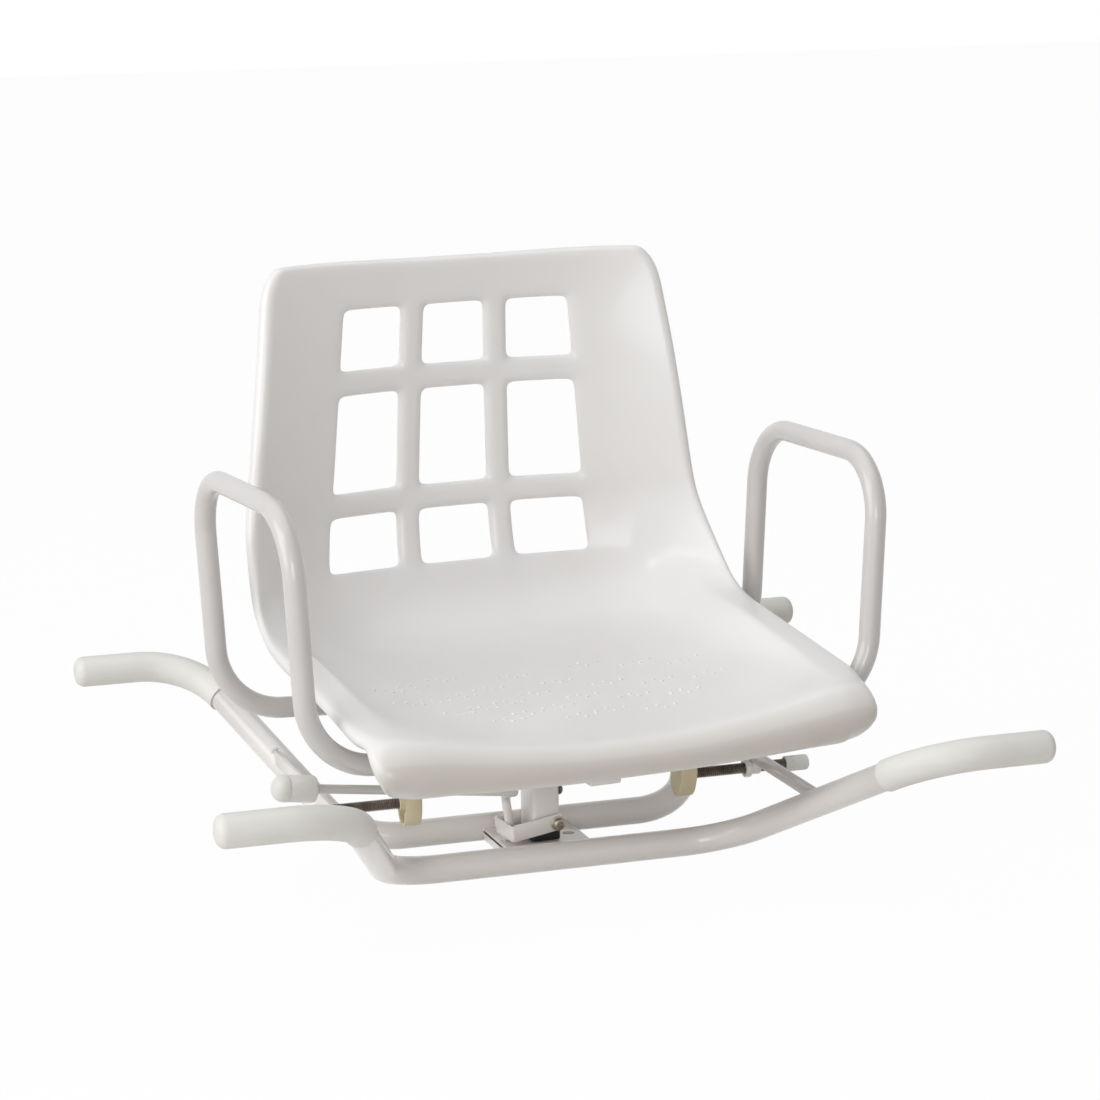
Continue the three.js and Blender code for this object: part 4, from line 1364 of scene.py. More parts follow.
    def thicken(self, mesh: bmesh.types.BMesh, rows: list, row_tag: object, column_tag: object) -> None:
        """Gives the skin its far side, and rounds the rim and the windows' edges.

        Args:
            mesh: the sitter's side with its windows cut.
            rows: the seat's stations.
            row_tag: the layer that holds each vertex's row.
            column_tag: the layer that holds each vertex's column.
        """
        layer = mesh.verts.layers.int.get("side")
        mesh.normal_update()
        loops = [{vert for edge in loop for vert in edge.verts} for loop in open_loops(mesh)]
        rim_keys = {(vert[row_tag], vert[column_tag]) for vert in max(loops, key=len)}
        normals, inside = {}, {}
        for vert in mesh.verts:
            key = (vert[row_tag], vert[column_tag])
            normal = vert.normal.copy()
            normal.x *= self.normal_narrow
            normals[key] = normal.normalized()
            inner = [edge for edge in vert.link_edges if not edge.is_boundary] or vert.link_edges
            ways = [edge.other_vert(vert).co - vert.co for edge in inner]
            inside[key] = sum((way.normalized() for way in ways), Vector())
        on_pan = normals[(len(self.front_feet), 0)]
        upward = 1.0 if on_pan.z > 0 else -1.0
        last_row, last_column = self.window_rows[-1][1], self.window_columns[1][1]
        made = bmesh.ops.extrude_face_region(mesh, geom=list(mesh.faces), use_keep_orig=True)["geom"]
        for vert in [item for item in made if isinstance(item, bmesh.types.BMVert)]:
            key = (vert[row_tag], vert[column_tag])
            if key[0] < len(self.front_feet):
                foot, draft, lift = self.front_feet[key[0]]
                foot += self.aside_lift * progress(abs(vert.co.x), *self.aside_zone)
                corner = progress(abs(vert.co.x), *self.corner_zone) ** 2
                inward = -math.copysign(0.5 * lift, vert.co.x) * corner
                vert.co += Vector((inward, draft, foot + lift * corner - vert.co.z))
            elif 0 <= key[0] - self.first_row <= last_row and abs(key[1]) <= last_column:
                vert.co.y += self.window_wall
            else:
                vert.co -= upward * normals[key] * self.thickness(rows, rows[key[0]], vert.co)
            vert[layer] = FAR_SIDE
        posts = [edge for edge in mesh.edges if edge.verts[0][layer] != edge.verts[1][layer]]
        cuts = len(IN_WALL)
        made = bmesh.ops.subdivide_edges(mesh, edges=posts, cuts=cuts, use_grid_fill=False)["geom_inner"]
        mids = {item for item in made if isinstance(item, bmesh.types.BMVert)}
        ladders = []
        for post_near in [vert for vert in mesh.verts if vert[layer] == 0]:
            for edge in post_near.link_edges:
                if edge.other_vert(post_near) in mids:
                    ladders.append(self.ladder(post_near, edge.other_vert(post_near)))
        for near, *inner, _ in ladders:
            for vert, level in zip(inner, IN_WALL):
                vert[layer] = level
                vert[row_tag], vert[column_tag] = near[row_tag], near[column_tag]
        moves = []
        for ladder in ladders:
            moves += self.bulge(ladder, rows, layer, row_tag, column_tag, inside, rim_keys)
        for vert, move in moves:
            vert.co += move

    @staticmethod
    def ladder(near: bmesh.types.BMVert, first: bmesh.types.BMVert) -> list:
        """The vertices from the near side through the wall to the far side.

        Args:
            near: the vertex on the sitter's side.
            first: its neighbour in the wall.

        Returns:
            The near vertex, three in the wall and the far one.
        """
        rungs = [near, first]
        while len(rungs) < len(IN_WALL) + 2:
            before, here = rungs[-2:]
            ahead = (here.co - before.co).normalized()
            onward = [edge.other_vert(here) for edge in here.link_edges]
            onward = [vert for vert in onward if vert is not before]
            rungs.append(max(onward, key=lambda vert: (vert.co - here.co).normalized().dot(ahead)))
        return rungs

    def bulge(
        self,
        ladder: list,
        rows: list,
        layer: object,
        row_tag: object,
        column_tag: object,
        inside: dict,
        rim_keys: set,
    ) -> list:
        """How far the vertices of one edge wall move to round it.

        Args:
            ladder: the near vertex, three in the wall and the far one.
            rows: the seat's stations.
            layer: the layer that tells near side, wall and far side apart.
            row_tag: the layer that holds each vertex's row.
            column_tag: the layer that holds each vertex's column.
            inside: for each row and column, the way into the skin from there.
            rim_keys: the rows and columns of the seat's outline.

        Returns:
            Pairs of a vertex and its move.
        """
        near, low, middle, high, far = ladder
        ring = [edge.other_vert(middle) for edge in middle.link_edges]
        ring = [vert for vert in ring if vert[layer] == IN_WALL[1]]
        key = (near[row_tag], near[column_tag])
        through = far.co - near.co
        outward = (ring[1].co - ring[0].co).cross(through).normalized()
        if outward.dot(inside[key]) > 0:
            outward.negate()
        legs = [(other.co - middle.co).normalized() for other in ring]
        half_turn = math.acos(max(-1.0, min(1.0, -legs[0].dot(legs[1])))) / 2
        mitre = min(1.0 / max(math.cos(half_turn), 0.5), self.mitre_most)
        if key in rim_keys:
            reach = through.length * self.rim_share * min(mitre, self.mitre_rim)
            shift = self.rim_spread + self.proud * rows[key[0]].back
            in_front = rows[key[0]].mid_y < self.front_line and abs(key[1]) < self.front_column
            draft = self.front_high if in_front else self.rim_high
            return [
                (low, outward * reach * self.rim_low - through * shift),
                (middle, outward * reach),
                (high, outward * reach * draft + through * self.rim_spread),
            ]
        reach = (self.flare + self.pinch) * mitre
        return [(vert, outward * reach * out) for vert, out in zip((low, middle, high), self.window_out)]

    def thickness(self, rows: list, station: SeatStation, place: Vector) -> float:
        """How thick the double wall is at a point.

        Args:
            rows: the seat's stations.
            station: the point's row.
            place: the point.

        Returns:
            The thickness.
        """
        edge = max(station.half - abs(place.x) - self.edge_flat, 0.0)
        if station.back < 1:
            end = abs(station.mid_y - rows[0].mid_y)
        else:
            end = abs(rows[-1].mid_z - station.mid_z)
        share = (1 - min(edge, end, self.edge_reach) / self.edge_reach) ** 2
        return self.wall + (station.thick - self.wall) * share

    def build_pips(self, shell: bpy.types.Object) -> None:
        """Makes the anti-slip pips: small clusters of four raised lenses on the pan.

        Args:
            shell: the finished shell, which the pips are set down on.
        """
        rounded = shell.evaluated_get(bpy.context.evaluated_depsgraph_get())
        to_seat = seat_place().inverted()
        mesh = bmesh.new()
        for x, y in self.pips:
            for dx, dy in self.pip_cluster:
                above = seat_place() @ Vector((x + dx, y + dy, self.pip_drop))
                struck, place, normal, _ = rounded.ray_cast(above, -ALONG["Z"])
                if struck:
                    tilt = turned_from_z(to_seat.to_3x3() @ normal)
                    bead(mesh, Matrix.Translation(to_seat @ place) @ tilt, self.pip_size, 2)
        self.workshop.piece("pan_pips", mesh, Slot.SEAT, Body.SEAT, seat_place())

    def build_bosses(self) -> None:
        """Makes the four bosses that stand on the carrier plate, and the tab under the front roll."""
        mesh = bmesh.new()
        for y, top in self.bosses:
            for side in Side:
                centre = Vector((side.value * self.boss_x, y, (self.boss_foot + top) / 2))
                bmesh.ops.create_cone(
                    mesh,
                    cap_ends=True,
                    segments=48,
                    radius1=self.boss_radius,
                    radius2=self.boss_radius + self.boss_flare,
                    depth=top - self.boss_foot,
                    matrix=Matrix.Translation(centre),
                )
        bevel(mesh, sharp_edges(mesh), self.boss_edge, 3)
        tab = rounded_block(*self.front_tab, self.tab_edge, 4)
        self.workshop.piece("seat_bosses", join_meshes([mesh, tab]), Slot.SEAT, Body.SEAT, seat_place())


@dataclass
class Armrests:
    """The two hoops at the seat's sides."""

    workshop: Workshop
    spread: float = 264.3
    lean: float = math.tan(math.radians(3.15))
    front_y: float = -125.5
    rear_y: float = 98.8
    top_z: float = 343.3
    corner_z: float = 127.8
    run_z: float = 121.5
    run_x: float = 164.3
    inner_x: float = 60.0
    top_radius: float = 55.4
    foot_radius: float = 63.7
    tube_radius: float = 9.5
    tube_wall: float = 1.5
    tube_bore: float = 25.0

    def build(self) -> None:
        """Makes both hoops."""
        top_x = self.spread + (self.top_z - self.corner_z) * self.lean
        front = [
            (self.inner_x, self.front_y, self.run_z),
            (self.run_x, self.front_y, self.run_z),
            (self.spread, self.front_y, self.corner_z),
            (top_x, self.front_y, self.top_z),
        ]
        rear = [(x, self.rear_y, z) for x, _, z in reversed(front)]
        radii = [self.foot_radius, self.foot_radius, self.top_radius]
        steps = hollow_steps(self.tube_radius, self.tube_wall, self.tube_bore)
        for side in Side:
            corners = [(side.value * x, y, z) for x, y, z in front + rear]
            mesh = Run(corners, radii + radii[::-1], self.tube_radius, 40, 4.0).build()
            hollow_ends(mesh, steps, -1)
            name = f"{side.word}_armrest"
            self.workshop.piece(f"{name}_hoop", mesh, Slot.COAT, Body.SEAT, seat_place(), (name,))


@dataclass
class SwivelColumn:
    """Base plate, glide block, square post, carrier plate and the fasteners between them."""

    workshop: Workshop
    plate_half: float = 40.0
    plate_length: float = 44.2
    plate_top: float = 2.0
    plate_thick: float = 4.0
    plate_edge: float = 0.5
    flange: float = 7.0
    flange_step: float = 0.4
    flange_edge: float = 1.2
    lock_radius: float = 28.0
    lock_hole: float = 5.5
    post_x: float = 13.0
    post_y: float = 15.0
    post_wall: float = 2.0
    post_foot: float = 11.3
    post_top: float = 108.4
    post_rounding: float = 3.0
    post_bore_rounding: float = 1.6
    carrier_half: float = 125.0
    carrier_front: float = -142.0
    carrier_rear: float = 115.3
    carrier_under: float = 108.7
    carrier_top: float = 111.7
    carrier_corner: float = 18.0
    carrier_edge: float = 0.6
    pivot_hole: float = 6.3
    glide_foot: float = 2.3
    glide_top: float = 11.0
    glide_bore: float = 8.3
    glide_edge: float = 0.9
    seam_count: int = 34
    seam_size: tuple = (1.9, 1.6, 1.5)
    seam_low: float = 1.2
    seam_out: float = 0.2
    seam_wobble: float = 0.2
    bolt_place: tuple = (-9.5, 47.0)
    strap_place: tuple = (8.6, 20.1, 18.5)

    def build(self) -> None:
        """Makes the column's pieces."""
        self.base_plate()
        self.post()
        self.glide()
        self.carrier()
        self.retaining_head()
        self.strap_screws()

    def base_plate(self) -> None:
        """A shallow channel with its lock holes and its weld beads along both tubes."""
        low = (-self.plate_half, -self.plate_length, self.plate_top - self.plate_thick)
        high = (self.plate_half, self.plate_length, self.plate_top)
        mesh = rounded_block(low, high, self.plate_edge, 2)
        holes = [(0.0, 0.0, self.pivot_hole)]
        for k in range(4):
            angle = REST_SWIVEL + k * math.pi / 2
            x, y = self.lock_radius * math.cos(angle), self.lock_radius * math.sin(angle)
            holes.append((x, y, self.lock_hole))
        parts = [self.pierced(mesh, holes, low[2], high[2])]
        foot, top = low[2] - self.flange, self.plate_top - self.flange_step
        for side in (-1, 1):
            x0, x1 = sorted((side * self.plate_half, side * (self.plate_half - self.plate_thick)))
            parts.append(rounded_block((x0, low[1], foot), (x1, high[1], top), self.flange_edge, 3))
        for end in (-1, 1):
            parts.append(self.seam(end))
        whole = join_meshes(parts)
        nodes = ("swivel_base_plate",)
        self.workshop.piece("base_channel", whole, Slot.COAT, Body.FRAME, frame_place(), nodes, 0, False)

    def seam(self, end: int) -> bmesh.types.BMesh:
        """The painted weld seam where the plate meets a frame tube.

        Args:
            end: minus one at the front and one at the rear.

        Returns:
            The seam.
        """
        mesh = bmesh.new()
        for k in range(self.seam_count):
            x = -self.plate_half + 2 * self.plate_half * (k + 0.5) / self.seam_count
            y = end * (self.plate_length + self.seam_out)
            z = self.plate_top - self.seam_low + self.seam_wobble * math.sin(3.1 * k)
            bead(mesh, Matrix.Translation((x, y, z)), self.seam_size)
        return mesh

    @staticmethod
    def pierced(mesh: bmesh.types.BMesh, holes: list, low: float, high: float) -> bmesh.types.BMesh:
        """Cuts round holes down through a plate.

        Args:
            mesh: the plate; it is freed.
            holes: places and radii.
            low: the plate's underside.
            high: its top.

        Returns:
            The pierced plate.
        """
        cutters = bmesh.new()
        past = 4.0
        for x, y, radius in holes:
            bmesh.ops.create_cone(
                cutters,
                cap_ends=True,
                segments=40,
                radius1=radius,
                radius2=radius,
                depth=high - low + 2 * past,
                matrix=Matrix.Translation((x, y, (low + high) / 2)),
            )
        return subtract(mesh, cutters)

    def post(self) -> None:
        """The square tube post, open at both ends."""
        past = 9.0
        low = (-self.post_x, -self.post_y, self.post_foot)
        high = (self.post_x, self.post_y, self.post_top)
        bore_low = (low[0] + self.post_wall, low[1] + self.post_wall, low[2] - past)
        bore_high = (high[0] - self.post_wall, high[1] - self.post_wall, high[2] + past)
        outer = rounded_block(low, high, self.post_rounding, 4, "Z")
        whole = subtract(outer, rounded_block(bore_low, bore_high, self.post_bore_rounding, 3, "Z"))
        self.workshop.piece("post_tube", whole, Slot.COAT, Body.SEAT, seat_place(), ("swivel_post",))

    def glide(self) -> None:
        """The black glide block under the post."""
        low = (-self.post_x, -self.post_y, self.glide_foot)
        high = (self.post_x, self.post_y, self.glide_top)
        block = rounded_block(low, high, self.glide_edge, 3)
        mesh = self.pierced(block, [(0.0, 0.0, self.glide_bore)], self.glide_foot, self.glide_top)
        self.workshop.piece("glide_pad", mesh, Slot.NYLON, Body.SEAT, seat_place(), ("glide_block",))

    def carrier(self) -> None:
        """The plate that carries the seat, with round corners."""
        low = (-self.carrier_half, self.carrier_front, self.carrier_under)
        high = (self.carrier_half, self.carrier_rear, self.carrier_top)
        mesh = rounded_block(low, high, self.carrier_corner, 8, "Z")
        bevel(mesh, sharp_edges(mesh), self.carrier_edge, 2)
        nodes = ("seat_carrier_plate",)
        self.workshop.piece("seat_carrier", mesh, Slot.COAT, Body.SEAT, seat_place(), nodes)

    def retaining_head(self) -> None:
        """The dark screw in the post's side: a domed head with a round recess, and its shank."""
        profile = [(0, -24.0), (3.0, -24.0), (3.0, 0.0), (5.0, 0.0), (5.0, 1.6), (4.7, 2.6), (4.0, 3.5)]
        profile += [(3.0, 4.1), (2.5, 4.2), (2.4, 2.0), (0, 2.0)]
        place = Vector((self.post_x + 0.1, *self.bolt_place))
        mesh = turned(profile, place, ALONG["X"], 36)
        nodes = ("retaining_bolt",)
        self.workshop.piece("retaining_screw", mesh, Slot.DARK, Body.SEAT, seat_place(), nodes)

    def strap_screws(self) -> None:
        """The zinc screws that the latch strap hinges on: washer, domed head and round recess."""
        washer = [(0, -7.0), (3.0, -7.0), (3.0, 0.2), (6.6, 0.2), (6.8, 0.5), (6.8, 1.2), (6.5, 1.4)]
        head = [(5.3, 1.4), (5.3, 2.6), (5.0, 3.6), (4.2, 4.5), (3.2, 4.9)]
        recess = [(2.6, 4.9), (2.5, 3.0), (0, 3.0)]
        x, y, z = self.strap_place
        for end, word in ((-1, "front"), (1, "rear")):
            mesh = turned(washer + head + recess, Vector((x, end * y, z)), Vector((0, end, 0)), 40)
            name, node = f"{word}_strap_pivot", f"{word}_strap_screw"
            self.workshop.piece(name, mesh, Slot.ZINC, Body.SEAT, seat_place(), (node,))


def subtract(solid: bmesh.types.BMesh, tool: bmesh.types.BMesh) -> bmesh.types.BMesh:
    """Cuts one closed mesh out of another.

    Args:
        solid: what is kept; it is freed.
        tool: what is cut away; it is freed.

    Returns:
        The cut mesh.
    """
    objects = []
    for name, part in (("solid", solid), ("tool", tool)):
        bmesh.ops.recalc_face_normals(part, faces=part.faces)
        objects.append(scene_object(name, mesh_data(name, part)))
    cut = objects[0].modifiers.new("cut", "BOOLEAN")
    cut.operation = "DIFFERENCE"
    cut.solver = "EXACT"
    cut.object = objects[1]
    bpy.context.view_layer.update()
    depsgraph = bpy.context.evaluated_depsgraph_get()
    result = bmesh.new()
    result.from_mesh(bpy.data.meshes.new_from_object(objects[0].evaluated_get(depsgraph)))
    for made in objects:
        data = made.data
        bpy.data.objects.remove(made)
        bpy.data.meshes.remove(data)
    return result


@dataclass
class LockLever:
    """The release lever: cranked rod, end grip and the strap hinged on the post."""

    workshop: Workshop
    rod_radius: float = 4.0
    lock_radius: float = 28.0
    pin_tip: float = 2.95
    rise_z: float = 46.0
    tilt: float = math.radians(7.9)
    crank: tuple = (-62.0, -88.0, 73.2)
    tip: tuple = (-286.0, -92.0, 105.4)
    rod_in_grip: float = 12.0
    rod_bends: tuple = (13.0, 22.0)
    pin_rounding: float = 1.2
    grip_radius: float = 11.5
    grip_length: float = 38.0
    ball_length: float = 13.5
    pivot_x: float = 8.6
    pivot_z: float = 18.5
    strap_half: float = 20.0
    strap_thick: float = 2.5
    strap_above: float = 8.3
    strap_below: float = 6.5
    strap_past: float = 6.5
    strap_bend: float = 3.0
    strap_gap: float = 0.3
    strap_corner: float = 2.6
    strap_edge: float = 0.35

    def build(self) -> None:
        """Makes the lever's pieces."""
        self.rod()
        self.grip()
        self.strap()

    def axis(self) -> Vector:
        """The way the long arm points."""
        return (Vector(self.tip) - Vector(self.crank)).normalized()

    def rod(self) -> None:
        """The painted rod, from the lock pin to inside the grip."""
        rise_x = -self.lock_radius - (self.rise_z - self.pin_tip) * math.tan(self.tilt)
        pin = (-self.lock_radius, 0, self.pin_tip + self.pin_rounding)
        end = Vector(self.tip) - self.axis() * self.rod_in_grip
        corners = [pin, (rise_x, 0, self.rise_z), self.crank, tuple(end)]
        mesh = Run(corners, self.rod_bends, self.rod_radius, 28, 5.0).build()
        lean = (Vector(corners[0]) - Vector(corners[1])).normalized()
        steps = dome_steps(self.rod_radius, self.pin_rounding, 3)
        for loop in open_loops(mesh):
            at_pin = loop_centre(loop).z < self.rise_z / 2
            last = draw_in(mesh, loop, steps, lean if at_pin else self.axis())
            close_end(mesh, last)
        self.workshop.piece("lever_bar", mesh, Slot.COAT, Body.LEVER, seat_place(), ("lever_rod",))

    def grip(self) -> None:
        """The white end grip: a barrel, a shallow groove and a ball end."""
        r = self.grip_radius
        length = self.grip_length
        profile = [(0, 0.6), (4.3, 0.6), (4.3, 0.0), (r - 1.6, 0.0), (r - 0.7, 0.3), (r - 0.2, 1.0)]
        seam = length - self.ball_length
        profile += [(r, 2.2), (r, seam - 0.8), (r - 0.15, seam - 0.3), (r - 0.7, seam)]
        profile += [(r - 0.15, seam + 0.4), (r + 0.1, seam + 1.4)]
        straight = 3.0
        ball = length - seam - straight
        for k in range(10):
            angle = math.pi / 2 * k / 10
            profile.append(((r + 0.1) * math.cos(angle) ** 0.8, seam + straight + ball * math.sin(angle)))
        profile.append((0, length))
        base = Vector(self.tip) - self.axis() * length
        mesh = turned(profile, base, self.axis(), 48)
        self.workshop.piece("lever_handle", mesh, Slot.GRIP, Body.LEVER, seat_place(), ("lever_grip",))

    def strap(self) -> None:
        """The U-shaped strap: a flat strip bent round two corners."""
        back = (self.lock_radius + self.pivot_x) * math.cos(self.tilt)
        back += (self.pivot_z - self.pin_tip) * math.sin(self.tilt)
        web = -back - self.rod_radius - self.strap_gap - self.strap_thick / 2
        arm = self.strap_half - self.strap_thick / 2
        mesh = bmesh.new()
        first = [mesh.verts.new((self.strap_past, -arm, z)) for z in (-self.strap_below, self.strap_above)]
        edge = [mesh.edges.new(first)]
        bend_x, bend_y = web + self.strap_bend, arm - self.strap_bend
        steps = [
            (Vector((bend_x - self.strap_past, 0, 0)), Vector((bend_x, -bend_y, 0))),
            (Vector((0, 2 * bend_y, 0)), Vector((bend_x, bend_y, 0))),
            (Vector((self.strap_past - bend_x, 0, 0)), None),
        ]
        quarter = {"axis": (0, 0, -1), "angle": math.pi / 2, "steps": 6, "use_duplicate": False}
        for move, bend in steps:
            verts, edge = extruded(mesh, edge)
            bmesh.ops.translate(mesh, verts=verts, vec=move)
            if bend:
                edge = last_edges(bmesh.ops.spin(mesh, geom=edge, cent=bend, **quarter))
        bmesh.ops.remove_doubles(mesh, verts=mesh.verts, dist=MERGE / 2)
        bmesh.ops.recalc_face_normals(mesh, faces=mesh.faces)
        bmesh.ops.solidify(mesh, geom=list(mesh.faces), thickness=self.strap_thick)
        centre_shift = self.centre_wall(mesh, arm)
        bmesh.ops.translate(mesh, verts=mesh.verts, vec=centre_shift)
        ends = [e for e in sharp_edges(mesh, 60) if max(v.co.x for v in e.verts) > self.strap_past - 0.1]
        corners = [e for e in ends if abs(e.verts[0].co.y - e.verts[1].co.y) > 1]
        bevel(mesh, corners, self.strap_corner, 4)
        bevel(mesh, sharp_edges(mesh, 60), self.strap_edge, 2)
        turn = Matrix.Translation((self.pivot_x, 0, self.pivot_z)) @ Matrix.Rotation(-self.tilt, 4, "Y")
        bmesh.ops.transform(mesh, matrix=turn, verts=mesh.verts)
        self.workshop.piece("lock_strap", mesh, Slot.COAT, Body.LEVER, seat_place(), ("latch_strap",))

    def centre_wall(self, mesh: bmesh.types.BMesh, arm: float) -> Vector:
        """Stretches the strip to its width, and finds how far it has to move to stand evenly.

        Args:
            mesh: the thickened strip.
            arm: where the middle of each arm should be.

        Returns:
            The shift.
        """
        low = min(vert.co.y for vert in mesh.verts)
        high = max(vert.co.y for vert in mesh.verts)
        grown = (high - low) / 2 - arm
        wanted = self.strap_thick / 2
        scale = (arm + wanted) / (arm + grown)
        bmesh.ops.scale(mesh, verts=mesh.verts, vec=(1.0, scale, 1.0))
        if abs(grown - wanted) > 0.01:
            return Vector((grown - wanted, -(low + high) / 2 * scale, 0))
        return Vector()


@dataclass
class Clamp:
    """One wall clamp: threaded rod, hand knob, ribbed end cap and the nut welded under the side bar."""

    workshop: Workshop
    side: Side
    knob_inner: float
    knob_turn: float
    screw_z: float = 46.5
    knob_width: float = 28.0
    knob_height: float = 42.0
    knob_depth: float = 15.5
    knob_square: float = 2.3
    web_reach: float = 0.43
    cap_from_knob: float = 106.5
    cap_length: float = 23.0
    cap_radius: float = 7.2
    rod_radius: float = 5.0
    rod_past_knob: float = 3.3
    rod_in_cap: float = 13.7
    pitch: float = 2.0
    thread_depth: float = 1.0
    thread_crest: tuple = (0.42, 0.58)
    thread_steps: int = 22
    plain_end: float = 2.0
    nut_x: float = 197.0

    def place(self) -> Matrix:
        """Where the clamp lies: its own axis runs outwards along X at the screw's height.

        Returns:
            The transform from the clamp's millimetres.
        """
        lift = Matrix.Translation((0, 0, self.screw_z))
        turn = Matrix.Identity(4) if self.side is Side.RIGHT else Matrix.Rotation(math.pi, 4, "Z")
        return frame_place() @ lift @ turn

    def build(self) -> None:
        """Makes the clamp's pieces."""
        word = self.side.word
        at_right = self.side is Side.RIGHT
        drive = Body.RIGHT_DRIVE if at_right else Body.LEFT_DRIVE
        pad = Body.RIGHT_PAD if at_right else Body.LEFT_PAD
        for name, mesh, slot, body, node in (
            ("knob", self.knob(), Slot.KNOB, drive, "hand_knob"),
            ("threaded_rod", self.rod(), Slot.DARK, drive, "clamp_screw"),
            ("end_cap", self.cap(), Slot.CAP, pad, "wall_cap"),
            ("bar_nut", self.nut(), Slot.COAT, Body.FRAME, "screw_nut"),
        ):
            self.workshop.piece(f"{word}_{name}", mesh, slot, body, self.place(), (f"{word}_{node}",))

    def rod(self) -> bmesh.types.BMesh:
        """The screw: a helical thread between two plain ends.

        Returns:
            The screw.
        """
        start = self.knob_inner + self.rod_past_knob
        end = self.knob_inner + self.cap_from_knob + self.rod_in_cap
        turns = int((end - start - 2 * self.plain_end) / self.pitch)
        steps = self.thread_steps
        root, crest = self.rod_radius - self.thread_depth, self.rod_radius
        mesh = bmesh.new()
        rise, fall = (self.pitch * share for share in self.thread_crest)
        shape = [(root, 0.0), (crest, rise), (crest, fall), (root, self.pitch)]
        first = start + self.plain_end - self.pitch / 2
        verts = [mesh.verts.new((first + along, 0, radius)) for radius, along in shape]
        edges = [mesh.edges.new(pair) for pair in zip(verts, verts[1:])]
        bmesh.ops.spin(
            mesh,
            geom=verts + edges,
            cent=(0, 0, 0),
            axis=(1, 0, 0),
            dvec=(self.pitch / steps, 0, 0),
            angle=2 * math.pi * turns,
            steps=steps * turns,
            use_duplicate=False,
        )
        bmesh.ops.remove_doubles(mesh, verts=mesh.verts, dist=MERGE * 5)
        core = [(0, start), (root + 0.1, start), (root + 0.1, end), (0, end)]
        return join_meshes([mesh, turned(core, Vector(), ALONG["X"], 24)])

    def oval(self, width: float, height: float, at: float, mesh: bmesh.types.BMesh) -> list:
        """Starts an oval ring across the clamp's axis.

        Args:
            width: its size along Y.
            height: its size along Z.
            at: how far out it lies.
            mesh: the mesh being built.

        Returns:
            The ring's edges.
        """
        shape = Matrix.Translation((at, 0, 0)) @ Matrix.Rotation(math.pi / 2, 4, "Y")
        made = bmesh.ops.create_circle(mesh, cap_ends=False, radius=1.0, segments=56, matrix=shape)
        for vert in made["verts"]:
            angle = math.atan2(vert.co.z, vert.co.y)
            lobe = abs(math.cos(angle)) ** self.knob_square + abs(math.sin(angle)) ** self.knob_square
            lobe **= -1 / self.knob_square
            vert.co.y = math.cos(angle) * lobe * width / 2
            vert.co.z = math.sin(angle) * lobe * height / 2
        return list({edge for vert in made["verts"] for edge in vert.link_edges})

    def knob(self) -> bmesh.types.BMesh:
        """The hand knob: an oval cup open outwards, with a hub and four webs.

        Returns:
            The knob.
        """
        mesh = bmesh.new()
        inner, outer = self.knob_inner, self.knob_inner + self.knob_depth
        loop = self.oval(self.knob_width, self.knob_height, inner + 1.6, mesh)
        near = draw_in(mesh, loop, [(0.985, 0.8), (0.95, 1.3), (0.9, 1.6), (0.45, 1.6)], -ALONG["X"])
        close_end(mesh, near)
        deep = outer - inner
        wall = [(1.0, deep - 2.2), (0.99, deep - 1.75), (0.965, deep - 1.6), (0.9, deep - 1.6)]
        wall += [(0.872, deep - 1.9), (0.86, deep - 2.6), (0.84, 2.0), (0.3, 1.8)]
        floor = draw_in(mesh, open_loops(mesh)[0], wall, ALONG["X"])
        close_end(mesh, floor)
        hub = [(0, inner + 2.0), (8.0, inner + 2.0), (7.7, outer - 0.4), (7.0, outer), (7.0, outer + 2.5)]
        hub += [(6.5, outer + 3.0), (5.4, outer + 3.0), (5.3, inner + 4.0), (0, inner + 4.0)]
        parts = [mesh, turned(hub, Vector(), ALONG["X"], 36)]
        for angle in (0, 90, 180, 270):
            reach = self.web_reach * (self.knob_width if angle in (0, 180) else self.knob_height)
            web = rounded_block((inner + 2.4, 6.8, -0.9), (outer - 2.2, reach, 0.9), 0.3, 2)
            self.spun(web, angle)
            parts.append(web)
        whole = join_meshes(parts)
        self.spun(whole, self.knob_turn)
        return whole

    @staticmethod
    def spun(mesh: bmesh.types.BMesh, degrees: float) -> None:
        """Turns a mesh about the clamp's axis."""
        turn = Matrix.Rotation(math.radians(degrees), 3, "X")
        bmesh.ops.rotate(mesh, verts=mesh.verts, cent=(0, 0, 0), matrix=turn)

    def cap(self) -> bmesh.types.BMesh:
        """The end cap: a white sleeve with fine rings and a flat, rounded end.

        Returns:
            The cap.
        """
        start = self.knob_inner + self.cap_from_knob
        r = self.cap_radius
        profile = [(0, 14.0), (5.2, 14.0), (5.2, 0.4), (5.6, 0.0), (r - 0.5, 0.0), (r - 0.1, 0.3), (r, 0.9)]
        for k in range(3):
            at = 2.4 + k * 2.4
            profile += [(r, at), (r - 0.45, at + 0.25), (r - 0.45, at + 0.75), (r, at + 1.0)]
        rounding = 3.0
        for k in range(7):
            angle = math.pi / 2 * k / 6
            along = self.cap_length - rounding + rounding * math.sin(angle)
            profile.append((r - rounding + rounding * math.cos(angle), along))
        profile.append((0, self.cap_length))
        return turned(profile, Vector((start, 0, 0)), ALONG["X"], 44)

    def nut(self) -> bmesh.types.BMesh:
        """The flanged nut under the side bar.

        Returns:
            The nut.
        """
        flange = [(5.3, 0.4), (5.7, 0.0), (7.9, 0.0), (8.5, 0.5), (8.75, 1.4), (8.75, 4.6), (8.5, 5.5)]
        sleeve = [(7.9, 6.0), (6.5, 6.0), (6.5, 14.2), (6.1, 15.0), (5.7, 15.0), (5.3, 14.6)]
        return turned(flange + sleeve, Vector((self.nut_x, 0, 0)), ALONG["X"], 44)


